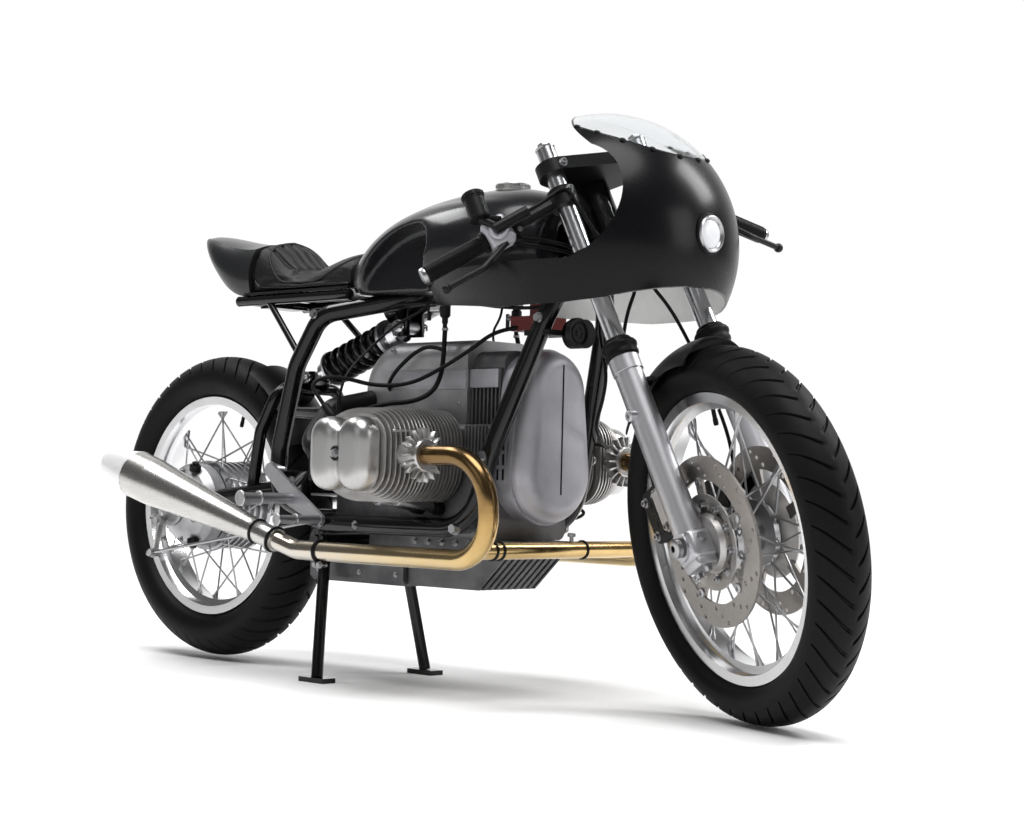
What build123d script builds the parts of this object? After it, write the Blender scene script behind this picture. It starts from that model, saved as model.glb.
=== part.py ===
"""A cafe racer motorcycle with a flat twin engine, parked on its centre stand with the bars on the right stop.

Millimetres and degrees. X points forward, Y to the rider's left and Z up from the floor. Places are given
forward of the rear axle, and the last step moves the whole machine so that the origin lies on the floor
under the middle of its box.
"""

import os
from math import atan2, cos, degrees, hypot, radians, sin

from build123d import *

# Chassis geometry
WHEELBASE = 1465
RAKE = 27.2
FORK_OFFSET = 58
STEER_STOP = 22.5
STAND_LIFT = 8
FIT = 0.3
PLATE = 8

# Wheels: one row each. Spoke angles are in degrees round the axle.
FRONT_TYRE_RADIUS = 331
REAR_TYRE_RADIUS = 334
FRONT_TYRE_WIDTH = 110
REAR_TYRE_WIDTH = 120
FRONT_LIP_RADIUS = 255
REAR_LIP_RADIUS = 242
FRONT_RIM_HALF = 36
REAR_RIM_HALF = 42
LIP_HEIGHT = 11
LIP_WIDTH = 4
RIM_WALL = 6
RIM_WELL_DEPTH = 14
RIM_WELL_HALF = 12
TYRE_WALL = 10
BEAD_INSET = 6
CROWN_DROP = 30
SHOULDER_SHARE = 0.9
AXLE_RADIUS = 10
AXLE_BORE_RADIUS = 6
SPOKE_RADIUS = 2
SPOKES_PER_SIDE = 18
SPOKE_SWEEP = 32
SPOKE_RIM_HALF = 7

# Front hub and brake discs
FRONT_FLANGE_RADIUS = 58
FRONT_FLANGE_SIDE = 38
FRONT_BARREL_RADIUS = 34
FRONT_HUB_HALF = 57
DISC_RADIUS = 149
DISC_INNER_RADIUS = 108
DISC_THICKNESS = 5
DISC_HOLE_RADIUS = 4
DISC_HOLE_GROUPS = 12
SPIDER_ARMS = 5
SPIDER_ARM_WIDTH = 22
SPIDER_RING_RADIUS = 56

# Rear hub drum and final drive
REAR_DRUM_RADIUS = 90
REAR_FLANGE_RADIUS = 99
REAR_HUB_HALF = 60
REAR_FLANGE_SIDE = 48
DRUM_RIBS = 4
DRIVE_GAP = 6
DRIVE_RADIUS = 92
DRIVE_DEPTH = 84

# Fork, measured forward of the steering axis, to the side of it and up along it from the floor
LEG_SPREAD = 97
TUBE_RADIUS = 18
TUBE_PROUD = 33
SLIDER_RADIUS = 26
SLIDER_TOP = 705
TUBE_INSERT = 60
BOOT_RADIUS = 31
BOOT_HEIGHT = 34
AXLE_CLAMP_RADIUS = 25
STEM_RADIUS = 15
YOKE_THICKNESS = 26
YOKE_CLAMP_RADIUS = 31
TOP_YOKE_UP = 1084
YOKES_APART = 192
HEAD_RADIUS = 33
HEAD_GAP = 3
CLIP_DROP = 48
CLIP_HEIGHT = 36
CLIP_RADIUS = 27
BAR_RADIUS = 11
BAR_BORE_RADIUS = 7.5
BAR_BORE_DEPTH = 45
BAR_BACK, BAR_SPREAD, BAR_FALL = 103, 263, 66
GRIP_RADIUS = 16.5
GRIP_LENGTH = 125
LEVER_REACH = 72
LEVER_DROOP = 56
LEVER_RADIUS = 5.5
LEVER_BALL_RADIUS = 9
PERCH_HALF = 13
PIVOT_REACH = 34
MASTER_LENGTH = 62
MASTER_RADIUS = 11
CUP_RADIUS, CUP_HEIGHT, CUP_RISE = 19, 44, 30

# Front mudguard
GUARD_GAP = 15
GUARD_WALL = 3
FRONT_GUARD_HALF = 64
GUARD_BRACKET = (4, 12)
FRONT_GUARD_SPAN = (94, 144)
GUARD_DROP = 40

# Frame tubes
RAIL_RADIUS = 15.5
BACKBONE_RADIUS = 25
LOOP_HALF = 125
PIVOT_X, PIVOT_Z = 400, 395
SHOCK_TOP = (590, 0, 722)
SHOCK_LOW = (303, 0, 622)
SPRING_INSET = 66
SPRING_RADIUS = 31
SPRING_WIRE_RADIUS = 6.5
SPRING_TURNS = 7
DAMPER_RADIUS = 22
COLLAR_RADIUS = 39
SHOCK_EYE_RADIUS = 15
SHOCK_EYE_HALF = 16.5
SUBFRAME_RADIUS = 11
SUBFRAME_HALF = 92
SUBFRAME_REAR, SUBFRAME_FRONT = 150, 505

# Engine: the crankcase, its covers and the two cylinders
ENGINE_REAR, ENGINE_FRONT = 690, 935
CASE_HALF = 106
CASE_BOTTOM, CASE_TOP = 300, 520
TOP_COVER_REAR, TOP_COVER_HALF, TOP_COVER_TOP = 852, 74, 662
TOP_RIBS = 8
FRONT_COVER_DEPTH = 84
FRONT_COVER_ROUND = 34
COVER_LIP, COVER_LIP_WIDTH = 4, 8
COVER_LOW_Z, COVER_LOW_RADIUS = 432, 98
COVER_HIGH_Z, COVER_HIGH_RADIUS = 581, 81
CYLINDER_Z = 457
CYLINDER_X = {"right": 775, "left": 813}
BARREL_RADIUS = 58
HEAD_START, HEAD_END = 222, 308
FIN_PITCH = 9.5
FIN_THICKNESS = 3.2
BARREL_FIN = (186, 178, 62)
HEAD_FIN = (214, 176, 48)
PORT_SIDE = 260
PORT_REACH = 125
INLET_REACH = 112
PORT_RADIUS = 27
NUT_RADIUS = 30
NUT_PETALS = 16
NUT_REACH = 45
NUT_WIDTH = 24
COVER_DEPTH = 52
COVER_LOBE = (80, 140)
COVER_LOBE_SHIFT = 39
COVER_LOBE_ROUND = 26
SUMP_BOTTOM = 203
SUMP_HALF = 80
SUMP_TOE, SUMP_NOSE, SUMP_LIP = 884, 972, 14
SUMP_FINS = 9
GEARBOX_REAR = 480
GEARBOX_HALF = 88
TRAY_BOTTOM, TRAY_TOP = 200, 246
TRAY_REAR, TRAY_FRONT, TRAY_HALF = 405, 686, 90
AIRBOX_REAR, AIRBOX_HALF, AIRBOX_TOP = 545, 90, 684
AIRBOX_ROUND, AIRBOX_EDGE = 100, 34

# Exhaust
PIPE_RADIUS = 19
PIPE_BEND = 88
PIPE_LEAD = 48
PIPE_FALL = 13
CROSS_RADIUS = 16
SILENCER_START = (489, 250, 284)
SILENCER_TIP = (-51, 272, 432)
SILENCER_RADIUS = 50

# Centre stand
STAND_X, STAND_Z = 470, 284
STAND_FOOT_FORWARD = 35
STAND_TUBE_RADIUS = 12
STAND_FOOT_SIDE = 150
STAND_LEG_SIDE = 106
STAND_PIN_RADIUS = 8
STAND_LUG_SIDE = 122
STAND_LUG_RADIUS = 19

# Bodywork. The fairing is a round nose with long flanks about a level axis.
FAIRING_X, FAIRING_Z = 1114, 850
FAIRING_RADIUS = 250
FLANK_RADIUS = 685
FAIRING_WALL = 4
SCREEN_WALL = 3
LAMP_Z = 861
LAMP_RADIUS = 33
LAMP_BACK = 1285
LAMP_WALL = 5
TANK_CAP_X = 874
SEAT_REAR, SEAT_FRONT = 186, 508
SEAT_HALF = 98
SEAT_Z = 803
PAN_THICKNESS = 5
TAIL_REAR = -22
RECESS_SIDE, RECESS_LEAN, RECESS_FOOT = 116, 9, 780
STAY_RADIUS = 9
HORN_PLACE = (1078, -26, 690)
HORN_RADIUS = 27
COIL_X, COIL_TOP, COIL_HEIGHT = 950, 728, 28

# Worked out from the sizes above
RAKE_SIN, RAKE_COS = sin(radians(RAKE)), cos(radians(RAKE))
TRAIL = (FRONT_TYRE_RADIUS * RAKE_SIN - FORK_OFFSET) / RAKE_COS
AXLE_UP = TRAIL * RAKE_SIN + FRONT_TYRE_RADIUS * RAKE_COS
REAR_AXLE_Z = REAR_TYRE_RADIUS + STAND_LIFT
LOWER_YOKE_UP = TOP_YOKE_UP - YOKES_APART
TUBE_TOP = TOP_YOKE_UP + YOKE_THICKNESS + TUBE_PROUD
CLIP_UP = TOP_YOKE_UP - CLIP_DROP
PIPE_NOSE = max(CYLINDER_X.values()) + PORT_REACH + PIPE_LEAD + PIPE_BEND
PIPE_LOW_Z = CYLINDER_Z - 2 * PIPE_BEND - PIPE_FALL
DISC_SIDE = FRONT_HUB_HALF + DISC_THICKNESS / 2
SUBFRAME_Z = SEAT_Z - PAN_THICKNESS - 2 * FIT - SUBFRAME_RADIUS
HEAD_LOW = LOWER_YOKE_UP + YOKE_THICKNESS + HEAD_GAP
HEAD_HIGH = TOP_YOKE_UP - HEAD_GAP
FRONT_REACH = WHEELBASE + FRONT_TYRE_RADIUS * (1 - (RAKE_COS * sin(radians(STEER_STOP))) ** 2) ** 0.5
MIDDLE_X = (FRONT_REACH - REAR_TYRE_RADIUS) / 2

FORK = Plane((WHEELBASE + TRAIL, 0, 0), x_dir=(RAKE_COS, 0, RAKE_SIN), z_dir=(-RAKE_SIN, 0, RAKE_COS))


def headstock(part):
    """Places a part drawn about the steering axis on the frame."""
    return FORK.location * part


def steered(part):
    """Places a part drawn about the steering axis with the bars on the right stop."""
    return FORK.location * Rot(0, 0, -STEER_STOP) * part


def both_sides(part):
    """A right hand part with its mirror image on the left."""
    return Part() + [part, mirror(part, about=Plane.XZ)]


def rod(start, end, radius):
    """A straight round bar between two points."""
    start, end = Vector(start), Vector(end)
    return Part() + Solid.make_cylinder(radius, (end - start).length, Plane(start, z_dir=end - start))


def cross_rod(x, z, radius, y_from, y_to):
    """A round bar along Y."""
    return rod((x, y_from, z), (x, y_to, z), radius)


def bent_tube(points, radius, bend):
    """A round tube along straight runs with rounded corners."""
    path = FilletPolyline(*points, radius=bend)
    return sweep(Plane(path @ 0, z_dir=path % 0) * Circle(radius), path)


def turned(points, start, toward):
    """A round part turned about the line from one point toward another, from radii and distances along it."""
    start, toward = Vector(start), Vector(toward)
    profile = Plane.XZ * make_face(Polyline(*points, close=True))
    return Plane(start, z_dir=toward - start).location * revolve(profile, Axis.Z)


def block(x_from, x_to, half, z_from, z_to, y_middle=0):
    """A plain block between two stations, as wide as twice its half width."""
    middle = ((x_from + x_to) / 2, y_middle, (z_from + z_to) / 2)
    return Pos(*middle) * Box(x_to - x_from, 2 * half, z_to - z_from)


def side_plate(edges, y_from, y_to):
    """A plate whose outline is drawn in side view, X and Z."""
    return extrude(Plane.XZ.offset(-y_from) * make_face(edges), amount=-(y_to - y_from))


def rear_wheel_place(part):
    """Places a part drawn about the wheel's own centre on the rear axle."""
    return Pos(0, 0, REAR_AXLE_Z) * part


def front_wheel_place(part):
    """Places a part drawn about the wheel's own centre on the steered front axle."""
    return steered(Pos(FORK_OFFSET, 0, AXLE_UP) * part)


# Wheels


def tyre(radius, width, lip_radius, rim_half):
    """A hollow tyre about Y: straight beads inside the rim's lips, bulged sidewalls and a round crown."""
    seat = lip_radius - LIP_HEIGHT
    bead = rim_half - BEAD_INSET

    def outline(top, half, bead_half):
        foot = lip_radius + 1
        shoulder = (top - CROWN_DROP, half * SHOULDER_SHARE)
        wide = ((foot + shoulder[0]) / 2, half)
        return make_face(
            [
                Line((seat, -bead_half), (foot, -bead_half)),
                ThreePointArc((foot, -bead_half), (wide[0], -wide[1]), (shoulder[0], -shoulder[1])),
                ThreePointArc((shoulder[0], -shoulder[1]), (top, 0), shoulder),
                ThreePointArc(shoulder, wide, (foot, bead_half)),
                Line((foot, bead_half), (seat, bead_half)),
                Line((seat, bead_half), (seat, -bead_half)),
            ]
        )

    inner = outline(radius - TYRE_WALL, width / 2 - TYRE_WALL, bead - TYRE_WALL)
    return revolve(outline(radius, width / 2, bead) - inner, Axis.Y)


def rim(lip_radius, half):
    """A drop-centre rim about Y, drawn as one wall with a lip each side."""
    seat = lip_radius - LIP_HEIGHT - FIT
    well = seat - RIM_WELL_DEPTH
    shoulder = RIM_WELL_HALF + LIP_WIDTH
    upper = [(lip_radius, half), (lip_radius, half - LIP_WIDTH), (seat, half - LIP_WIDTH - 1), (seat, shoulder)]
    lower = [(seat - RIM_WALL, shoulder + 1), (seat - RIM_WALL, half - 1)]
    side = upper + [(well, RIM_WELL_HALF)]
    under = [(well - RIM_WALL, RIM_WELL_HALF + 1)] + lower
    far_side = [(r, -y) for r, y in reversed(side)] + [(r, -y) for r, y in reversed(under)]
    return revolve(make_face(Polyline(*side, *far_side, *under, close=True)), Axis.Y)


def well_radius(lip_radius):
    """The rim's inner radius, where the spokes end."""
    return lip_radius - LIP_HEIGHT - FIT - RIM_WELL_DEPTH - RIM_WALL


def wheel_point(radius, angle, side):
    """A point of a wheel about its own centre."""
    return (radius * cos(radians(angle)), side, radius * sin(radians(angle)))


def laced(hub, flange_radius, flange_side, end_radius):
    """A hub with its wire spokes, crossed on both flanges and ending at the rim."""
    spokes = []
    step = 360 / SPOKES_PER_SIDE
    for side in (-1, 1):
        for k in range(SPOKES_PER_SIDE):
            angle = step * (k + (side + 1) / 4)
            lean = SPOKE_SWEEP if k % 2 else -SPOKE_SWEEP
            start = wheel_point(flange_radius - 2 * SPOKE_RADIUS, angle, side * flange_side)
            end = wheel_point(end_radius + 2 * SPOKE_RADIUS, angle + lean, side * SPOKE_RIM_HALF)
            spokes.append(rod(start, end, SPOKE_RADIUS))
    whole = hub + spokes
    return whole & Rot(90, 0, 0) * Cylinder(end_radius - FIT, 4 * flange_radius)


def front_hub():
    """The front hub: a barrel with two spoke flanges and a face for each disc."""
    half, flange = FRONT_HUB_HALF, FRONT_FLANGE_SIDE
    bore = AXLE_RADIUS + FIT
    web = 5
    points = [
        (bore, half),
        (SPIDER_RING_RADIUS - web, half),
        (SPIDER_RING_RADIUS - web, flange + web),
        (FRONT_FLANGE_RADIUS, flange + web),
        (FRONT_FLANGE_RADIUS, flange - web),
        (FRONT_BARREL_RADIUS, flange - 2 * web),
    ]
    section = make_face(Polyline(*points, *[(r, -y) for r, y in reversed(points)], close=True))
    end = well_radius(FRONT_LIP_RADIUS)
    return laced(revolve(section, Axis.Y), FRONT_FLANGE_RADIUS, flange, end)


def brake_disc(side):
    """A drilled disc with the arms that carry it on the hub."""
    arm_length = DISC_INNER_RADIUS + 4
    arm = Pos(arm_length / 2, 0) * Rectangle(arm_length, SPIDER_ARM_WIDTH)
    face = Circle(DISC_RADIUS) - Circle(DISC_INNER_RADIUS) + PolarLocations(0, SPIDER_ARMS) * arm
    face += Circle(SPIDER_RING_RADIUS)
    face -= Circle(AXLE_RADIUS + 4)
    rows = ((0.2, 0), (0.5, 8), (0.8, 15))
    for share, turn in rows:
        ring = DISC_INNER_RADIUS + share * (DISC_RADIUS - DISC_INNER_RADIUS)
        face -= PolarLocations(ring, DISC_HOLE_GROUPS, start_angle=turn) * Circle(DISC_HOLE_RADIUS)
    disc = extrude(face, amount=DISC_THICKNESS / 2, both=True)
    return Pos(0, side * DISC_SIDE, 0) * Rot(90, 0, 0) * disc


def rear_hub():
    """The ribbed rear brake drum with its spoke flanges."""
    half, flange, web = REAR_HUB_HALF, REAR_FLANGE_SIDE, 5
    bore = AXLE_RADIUS + FIT
    points = [(bore, half), (REAR_DRUM_RADIUS, half), (REAR_DRUM_RADIUS, flange + web)]
    points += [(REAR_FLANGE_RADIUS, flange + web), (REAR_FLANGE_RADIUS, flange - web)]
    points += [(REAR_DRUM_RADIUS, flange - web)]
    drum = revolve(make_face(Polyline(*points, *[(r, -y) for r, y in reversed(points)], close=True)), Axis.Y)
    pitch = 2 * (flange - web) / (DRUM_RIBS + 1)
    for k in range(DRUM_RIBS):
        rib = Rot(90, 0, 0) * Cylinder(REAR_FLANGE_RADIUS - 2, web)
        hole = Rot(90, 0, 0) * Cylinder(REAR_DRUM_RADIUS - 1, web)
        drum += Pos(0, -flange + web + pitch * (k + 1), 0) * (rib - hole)
    return laced(drum, REAR_FLANGE_RADIUS, flange, well_radius(REAR_LIP_RADIUS))


def guard(inner_radius, half, drop, span):
    """A curved mudguard about a wheel's own centre, from and to an angle up from straight ahead."""

    def crown(radius, side, low):
        arc = ThreePointArc((low, -side), (radius, 0), (low, side))
        return make_face([arc, Line((low, side), (low, -side))])

    low = inner_radius - drop
    section = crown(inner_radius + GUARD_WALL, half, low) - crown(inner_radius, half - GUARD_WALL, low)
    return Rot(0, -span[1], 0) * revolve(section, Axis.Y, revolution_arc=span[1] - span[0])


def front_guard():
    """The front mudguard behind the top of the tyre, with a bracket to each slider."""
    inner = FRONT_TYRE_RADIUS + GUARD_GAP
    skin = Rot(0, RAKE, 0) * guard(inner, FRONT_GUARD_HALF, GUARD_DROP, FRONT_GUARD_SPAN)
    near, far = FRONT_GUARD_HALF - 3 * GUARD_WALL, LEG_SPREAD - SLIDER_RADIUS - FIT
    low, high = (inner - GUARD_DROP + rise for rise in GUARD_BRACKET)
    for side in (-1, 1):
        skin += block(-10, 10, (far - near) / 2, low, high, side * (near + far) / 2)
    return skin


# Fork, drawn about the steering axis


def fork_legs(radius, low, high):
    """A pair of round legs along the steering axis."""
    leg = rod((FORK_OFFSET, -LEG_SPREAD, low), (FORK_OFFSET, -LEG_SPREAD, high), radius)
    return both_sides(leg)


def fork_sliders():
    """The lower legs with their axle clamps and caliper arms."""
    clamp_width = 2 * SLIDER_RADIUS
    leg = rod((FORK_OFFSET, -LEG_SPREAD, AXLE_UP), (FORK_OFFSET, -LEG_SPREAD, SLIDER_TOP), SLIDER_RADIUS)
    leg -= rod(
        (FORK_OFFSET, -LEG_SPREAD, SLIDER_TOP - TUBE_INSERT),
        (FORK_OFFSET, -LEG_SPREAD, SLIDER_TOP + 1),
        TUBE_RADIUS + FIT,
    )
    side = (-LEG_SPREAD - clamp_width / 2, -LEG_SPREAD + clamp_width / 2)
    leg += cross_rod(FORK_OFFSET, AXLE_UP, AXLE_CLAMP_RADIUS, *side)
    arm = Pos(FORK_OFFSET - SLIDER_RADIUS - 12, -LEG_SPREAD, AXLE_UP + 95) * Box(44, 14, 60)
    leg += arm
    leg -= cross_rod(FORK_OFFSET, AXLE_UP, AXLE_RADIUS + FIT / 3, side[0] - 1, side[1] + 1)
    return both_sides(leg)


def dust_boots():
    """Rubber boots where the tubes enter the sliders."""
    base = Pos(FORK_OFFSET, -LEG_SPREAD, SLIDER_TOP + FIT)
    boot = base * Pos(0, 0, BOOT_HEIGHT / 2) * Cylinder(BOOT_RADIUS, BOOT_HEIGHT)
    boot = fillet(boot.edges().filter_by(GeomType.CIRCLE).sort_by(Axis.Z)[-1:], BOOT_HEIGHT / 3)
    boot -= rod((FORK_OFFSET, -LEG_SPREAD, 0), (FORK_OFFSET, -LEG_SPREAD, TUBE_TOP), TUBE_RADIUS + FIT)
    return both_sides(boot)


def yoke(low):
    """A triple clamp plate round both tubes and the stem."""
    eyes = [Pos(FORK_OFFSET, side * LEG_SPREAD) * Circle(YOKE_CLAMP_RADIUS) for side in (-1, 1)]
    eyes.append(Circle(HEAD_RADIUS))
    outline = make_hull([edge for eye in eyes for edge in eye.edges()])
    for side in (-1, 1):
        outline -= Pos(FORK_OFFSET, side * LEG_SPREAD) * Circle(TUBE_RADIUS + FIT)
    return Pos(0, 0, low) * extrude(outline, amount=YOKE_THICKNESS)


def top_yoke():
    """The top clamp, with the stem's hole."""
    hole = rod((0, 0, TOP_YOKE_UP - 1), (0, 0, TOP_YOKE_UP + YOKE_THICKNESS + 1), STEM_RADIUS + FIT)
    return yoke(TOP_YOKE_UP) - hole


def lower_yoke():
    """The lower clamp with the steering stem and its top nut."""
    nut_low = TOP_YOKE_UP + YOKE_THICKNESS + FIT
    stem = rod((0, 0, LOWER_YOKE_UP), (0, 0, nut_low + 12), STEM_RADIUS)
    nut = rod((0, 0, nut_low), (0, 0, nut_low + 12), STEM_RADIUS + 7)
    return yoke(LOWER_YOKE_UP) + stem + nut


def bar_line():
    """The right clip-on bar's start at its clamp, its end and its unit direction."""
    start = Vector(FORK_OFFSET, -LEG_SPREAD, CLIP_UP)
    end = start + Vector(-BAR_BACK, -BAR_SPREAD, -BAR_FALL)
    return start, end, (end - start).normalized()


def clip_on():
    """A clamp on the fork tube with its bar, bored at the end for a bar-end weight."""
    start, end, along = bar_line()
    clamp = rod(start - Vector(0, 0, CLIP_HEIGHT / 2), start + Vector(0, 0, CLIP_HEIGHT / 2), CLIP_RADIUS)
    bar = clamp + rod(start, end, BAR_RADIUS)
    bar -= rod(start - Vector(0, 0, CLIP_HEIGHT), start + Vector(0, 0, CLIP_HEIGHT), TUBE_RADIUS + FIT)
    return bar - rod(end - along * BAR_BORE_DEPTH, end + along, BAR_BORE_RADIUS)


def grip():
    """A rubber grip over the end of the bar."""
    _, end, along = bar_line()
    sleeve = rod(end - along * GRIP_LENGTH, end, GRIP_RADIUS)
    return sleeve - rod(end - along * (GRIP_LENGTH + 1), end + along, BAR_RADIUS + FIT)


def hand_control(with_reservoir):
    """A perch on the bar with its lever and, for the brake, a master cylinder with a reservoir."""
    _, end, along = bar_line()
    level = Vector(0, 0, 1).cross(along).normalized()
    rise = along.cross(level)
    droop = radians(LEVER_DROOP)
    forward = level * cos(droop) - rise * sin(droop)
    seat = end - along * (GRIP_LENGTH + 2 * PERCH_HALF)
    pivot = seat + forward * PIVOT_REACH
    tip = end + forward * LEVER_REACH - along * LEVER_BALL_RADIUS
    knee = seat + along * 5 * PERCH_HALF + forward * LEVER_REACH
    perch = rod(seat - along * PERCH_HALF, seat + along * PERCH_HALF, BAR_RADIUS + PLATE)
    perch += rod(seat + forward * PLATE, pivot, PLATE)
    perch += bent_tube([pivot, knee, tip], LEVER_RADIUS, LEVER_REACH / 3)
    perch += Pos(*tip) * Sphere(LEVER_BALL_RADIUS)
    if with_reservoir:
        body = seat + level * PIVOT_REACH
        perch += rod(seat + level * PLATE, body, PLATE)
        perch += rod(body + along * PLATE, body - along * MASTER_LENGTH, MASTER_RADIUS)
        cup = body + along * 2 * PERCH_HALF + Vector(0, 0, CUP_RISE)
        perch += rod(body, cup + Vector(0, 0, 1), PLATE)
        perch += rod(cup, cup + Vector(0, 0, CUP_HEIGHT), CUP_RADIUS)
    return perch - rod(seat - along * 4 * PERCH_HALF, seat + along * 4 * PERCH_HALF, BAR_RADIUS + FIT)


def calipers():
    """A caliper each side, straddling its disc and bolted to the slider's arm."""
    gap = 5.5
    centre = (FORK_OFFSET - SLIDER_RADIUS - 62, AXLE_UP + 96)
    inner, outer = DISC_SIDE - 24, LEG_SPREAD - 7 - FIT
    body = Pos(centre[0], -(inner + outer) / 2, centre[1]) * Box(66, outer - inner, 96)
    body = fillet(body.edges().filter_by(Axis.Y), 14)
    slot = rod(
        (FORK_OFFSET, -DISC_SIDE - DISC_THICKNESS / 2 - gap, AXLE_UP),
        (FORK_OFFSET, -DISC_SIDE + DISC_THICKNESS / 2 + gap, AXLE_UP),
        DISC_RADIUS + gap,
    )
    body -= slot
    reach = FORK_OFFSET - SLIDER_RADIUS + 6
    ear = Pos((centre[0] + reach) / 2 + 12, -outer - 4, centre[1]) * Box(reach - centre[0] - 20, 8, 44)
    leg = rod((FORK_OFFSET, -LEG_SPREAD, AXLE_UP), (FORK_OFFSET, -LEG_SPREAD, SLIDER_TOP), SLIDER_RADIUS + FIT)
    arm = Pos(FORK_OFFSET - SLIDER_RADIUS - 12, -LEG_SPREAD, AXLE_UP + 95) * Box(45, 14 + FIT, 61)
    return both_sides(body + ear - leg - arm)


def front_axle():
    """The hollow front axle with a head at each end."""
    half = LEG_SPREAD + SLIDER_RADIUS + 12
    axle = cross_rod(FORK_OFFSET, AXLE_UP, AXLE_RADIUS, -half, half)
    for side in (-1, 1):
        ends = sorted((side * (half - 9), side * half))
        axle += cross_rod(FORK_OFFSET, AXLE_UP, AXLE_RADIUS + 7, *ends)
    return axle - cross_rod(FORK_OFFSET, AXLE_UP, AXLE_BORE_RADIUS, -half - 1, half + 1)


# Frame and running gear


def rail_points(side):
    """One side's main tube: down from the backbone, back under the engine and up round the rear loop."""
    stations = (
        # forward, to the side, up
        (1090, 26, 866),
        (1046, 84, 717),
        (957, 134, 458),
        (922, 138, 322),
        (480, 124, 318),
        (338, LOOP_HALF, 372),
        (338, LOOP_HALF, 470),
        (385, LOOP_HALF, 640),
        (448, 116, 744),
        (600, 62, 768),
        (690, 14, 786),
    )
    return [(x, side * y, z) for x, y, z in stations]


RAIL_BENDS = (110, 110, 100, 120, 58, 120, 120, 70, 60)


def backbone_line():
    """The backbone's two ends, at the headstock and at the seat."""
    front = FORK.from_local_coords(Vector(0, 0, (HEAD_LOW + HEAD_HIGH) / 2))
    return Vector(front.X, 0, front.Z - 10), Vector(540, 0, 757)


def frame():
    """The welded tube frame with its headstock, stand lugs and swingarm pivot plates."""
    front, rear = backbone_line()
    whole = rod(front, rear, BACKBONE_RADIUS)
    whole += headstock(rod((0, 0, HEAD_LOW), (0, 0, HEAD_HIGH), HEAD_RADIUS))
    for side in (-1, 1):
        whole += bent_tube(rail_points(side), RAIL_RADIUS, RAIL_BENDS)
        pivot = block(330, PIVOT_X + 24, PLATE / 2, PIVOT_Z - 26, PIVOT_Z + 26, side * (LOOP_HALF - PLATE))
        whole += pivot
        lug_y = side * (STAND_LUG_SIDE + PLATE / 2)
        lug = block(STAND_X - 16, STAND_X + 16, PLATE / 2, STAND_Z, 318, lug_y)
        lug += cross_rod(STAND_X, STAND_Z, STAND_LUG_RADIUS, lug_y - PLATE / 2, lug_y + PLATE / 2)
        whole += lug - cross_rod(STAND_X, STAND_Z, STAND_PIN_RADIUS + FIT, lug_y - PLATE, lug_y + PLATE)
        eye = block(SHOCK_TOP[0] - 16, SHOCK_TOP[0] + 16, 3, SHOCK_TOP[2] - 18, 765, side * 20)
        whole += eye
    whole += cross_rod(430, 332, 12, -LOOP_HALF + 4, LOOP_HALF - 4)
    whole += cross_rod(359, 545, 12, -LOOP_HALF, LOOP_HALF)
    return whole - headstock(rod((0, 0, HEAD_LOW - 9), (0, 0, HEAD_HIGH + 9), STEM_RADIUS + FIT))


def subframe():
    """The seat rails and the struts that brace them to the rear loop."""
    ends = [(x, -SUBFRAME_HALF, SUBFRAME_Z) for x in (SUBFRAME_REAR, SUBFRAME_FRONT)]
    rail = rod(*ends, SUBFRAME_RADIUS)
    rail += rod((245, -SUBFRAME_HALF, SUBFRAME_Z), (392, -LOOP_HALF + 8, 652), 7)
    pair = both_sides(rail)
    pair += cross_rod(SUBFRAME_REAR + 20, SUBFRAME_Z, SUBFRAME_RADIUS - 2, -SUBFRAME_HALF, SUBFRAME_HALF)
    plate = block(SUBFRAME_REAR + 12, SUBFRAME_REAR + 62, 45, SUBFRAME_Z - 12, SUBFRAME_Z - 6)
    for side in (-1, 1):
        plate -= Pos(SUBFRAME_REAR + 45, side * 30, SUBFRAME_Z) * Cylinder(3.3, 40)
    pair += plate
    return pair - main_tubes()


def main_tubes():
    """The two main rails alone, for cutting what is welded to them."""
    return Part() + [bent_tube(rail_points(side), RAIL_RADIUS, RAIL_BENDS) for side in (-1, 1)]


def swingarm():
    """The fork that carries the rear wheel, with its pivot tube and the hoop for the shock."""
    arm_radius = 22
    half = LOOP_HALF - PLATE - PLATE / 2 - FIT
    whole = cross_rod(PIVOT_X, PIVOT_Z, 24, -half, half)
    for side in (-1, 1):
        whole += rod((PIVOT_X, side * 80, PIVOT_Z), (30, side * 110, REAR_AXLE_Z + 4), arm_radius)
    whole += cross_rod(0, REAR_AXLE_Z, 26, 92, 126)
    whole += rod((60, 107, REAR_AXLE_Z + 7), (0, 108, REAR_AXLE_Z), 16)
    hoop = [(215, -98, 368), (240, -98, 505), (285, -88, 600), (285, 88, 600), (240, 98, 505), (215, 98, 368)]
    whole += bent_tube(hoop, 13, 40)
    for side in (-1, 1):
        whole += block(SHOCK_LOW[0] - 18, SHOCK_LOW[0] + 14, 3, 596, SHOCK_LOW[2] + 14, side * 20)
    whole -= cross_rod(0, REAR_AXLE_Z, AXLE_RADIUS + FIT, 80, 140)
    return whole - final_drive_blank()


def drive_section(bore):
    """The final drive's outline, radius and side."""
    near = -(REAR_HUB_HALF + DRIVE_GAP)
    far = near - DRIVE_DEPTH
    points = [(bore, near), (DRIVE_RADIUS, near), (DRIVE_RADIUS, near - 28), (DRIVE_RADIUS - 12, near - 46)]
    points += [(50, far + 16), (34, far), (bore, far)]
    return make_face(Polyline(*points, close=True))


def final_drive_blank():
    """The bevel drive housing without the swingarm's socket, grown by the seating clearance."""
    return rear_wheel_place(revolve(offset(drive_section(AXLE_RADIUS), FIT), Axis.Y))


def final_drive():
    """The bevel drive housing on the right of the rear wheel."""
    return rear_wheel_place(fillet_ring(revolve(drive_section(AXLE_RADIUS + FIT), Axis.Y)))


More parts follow.
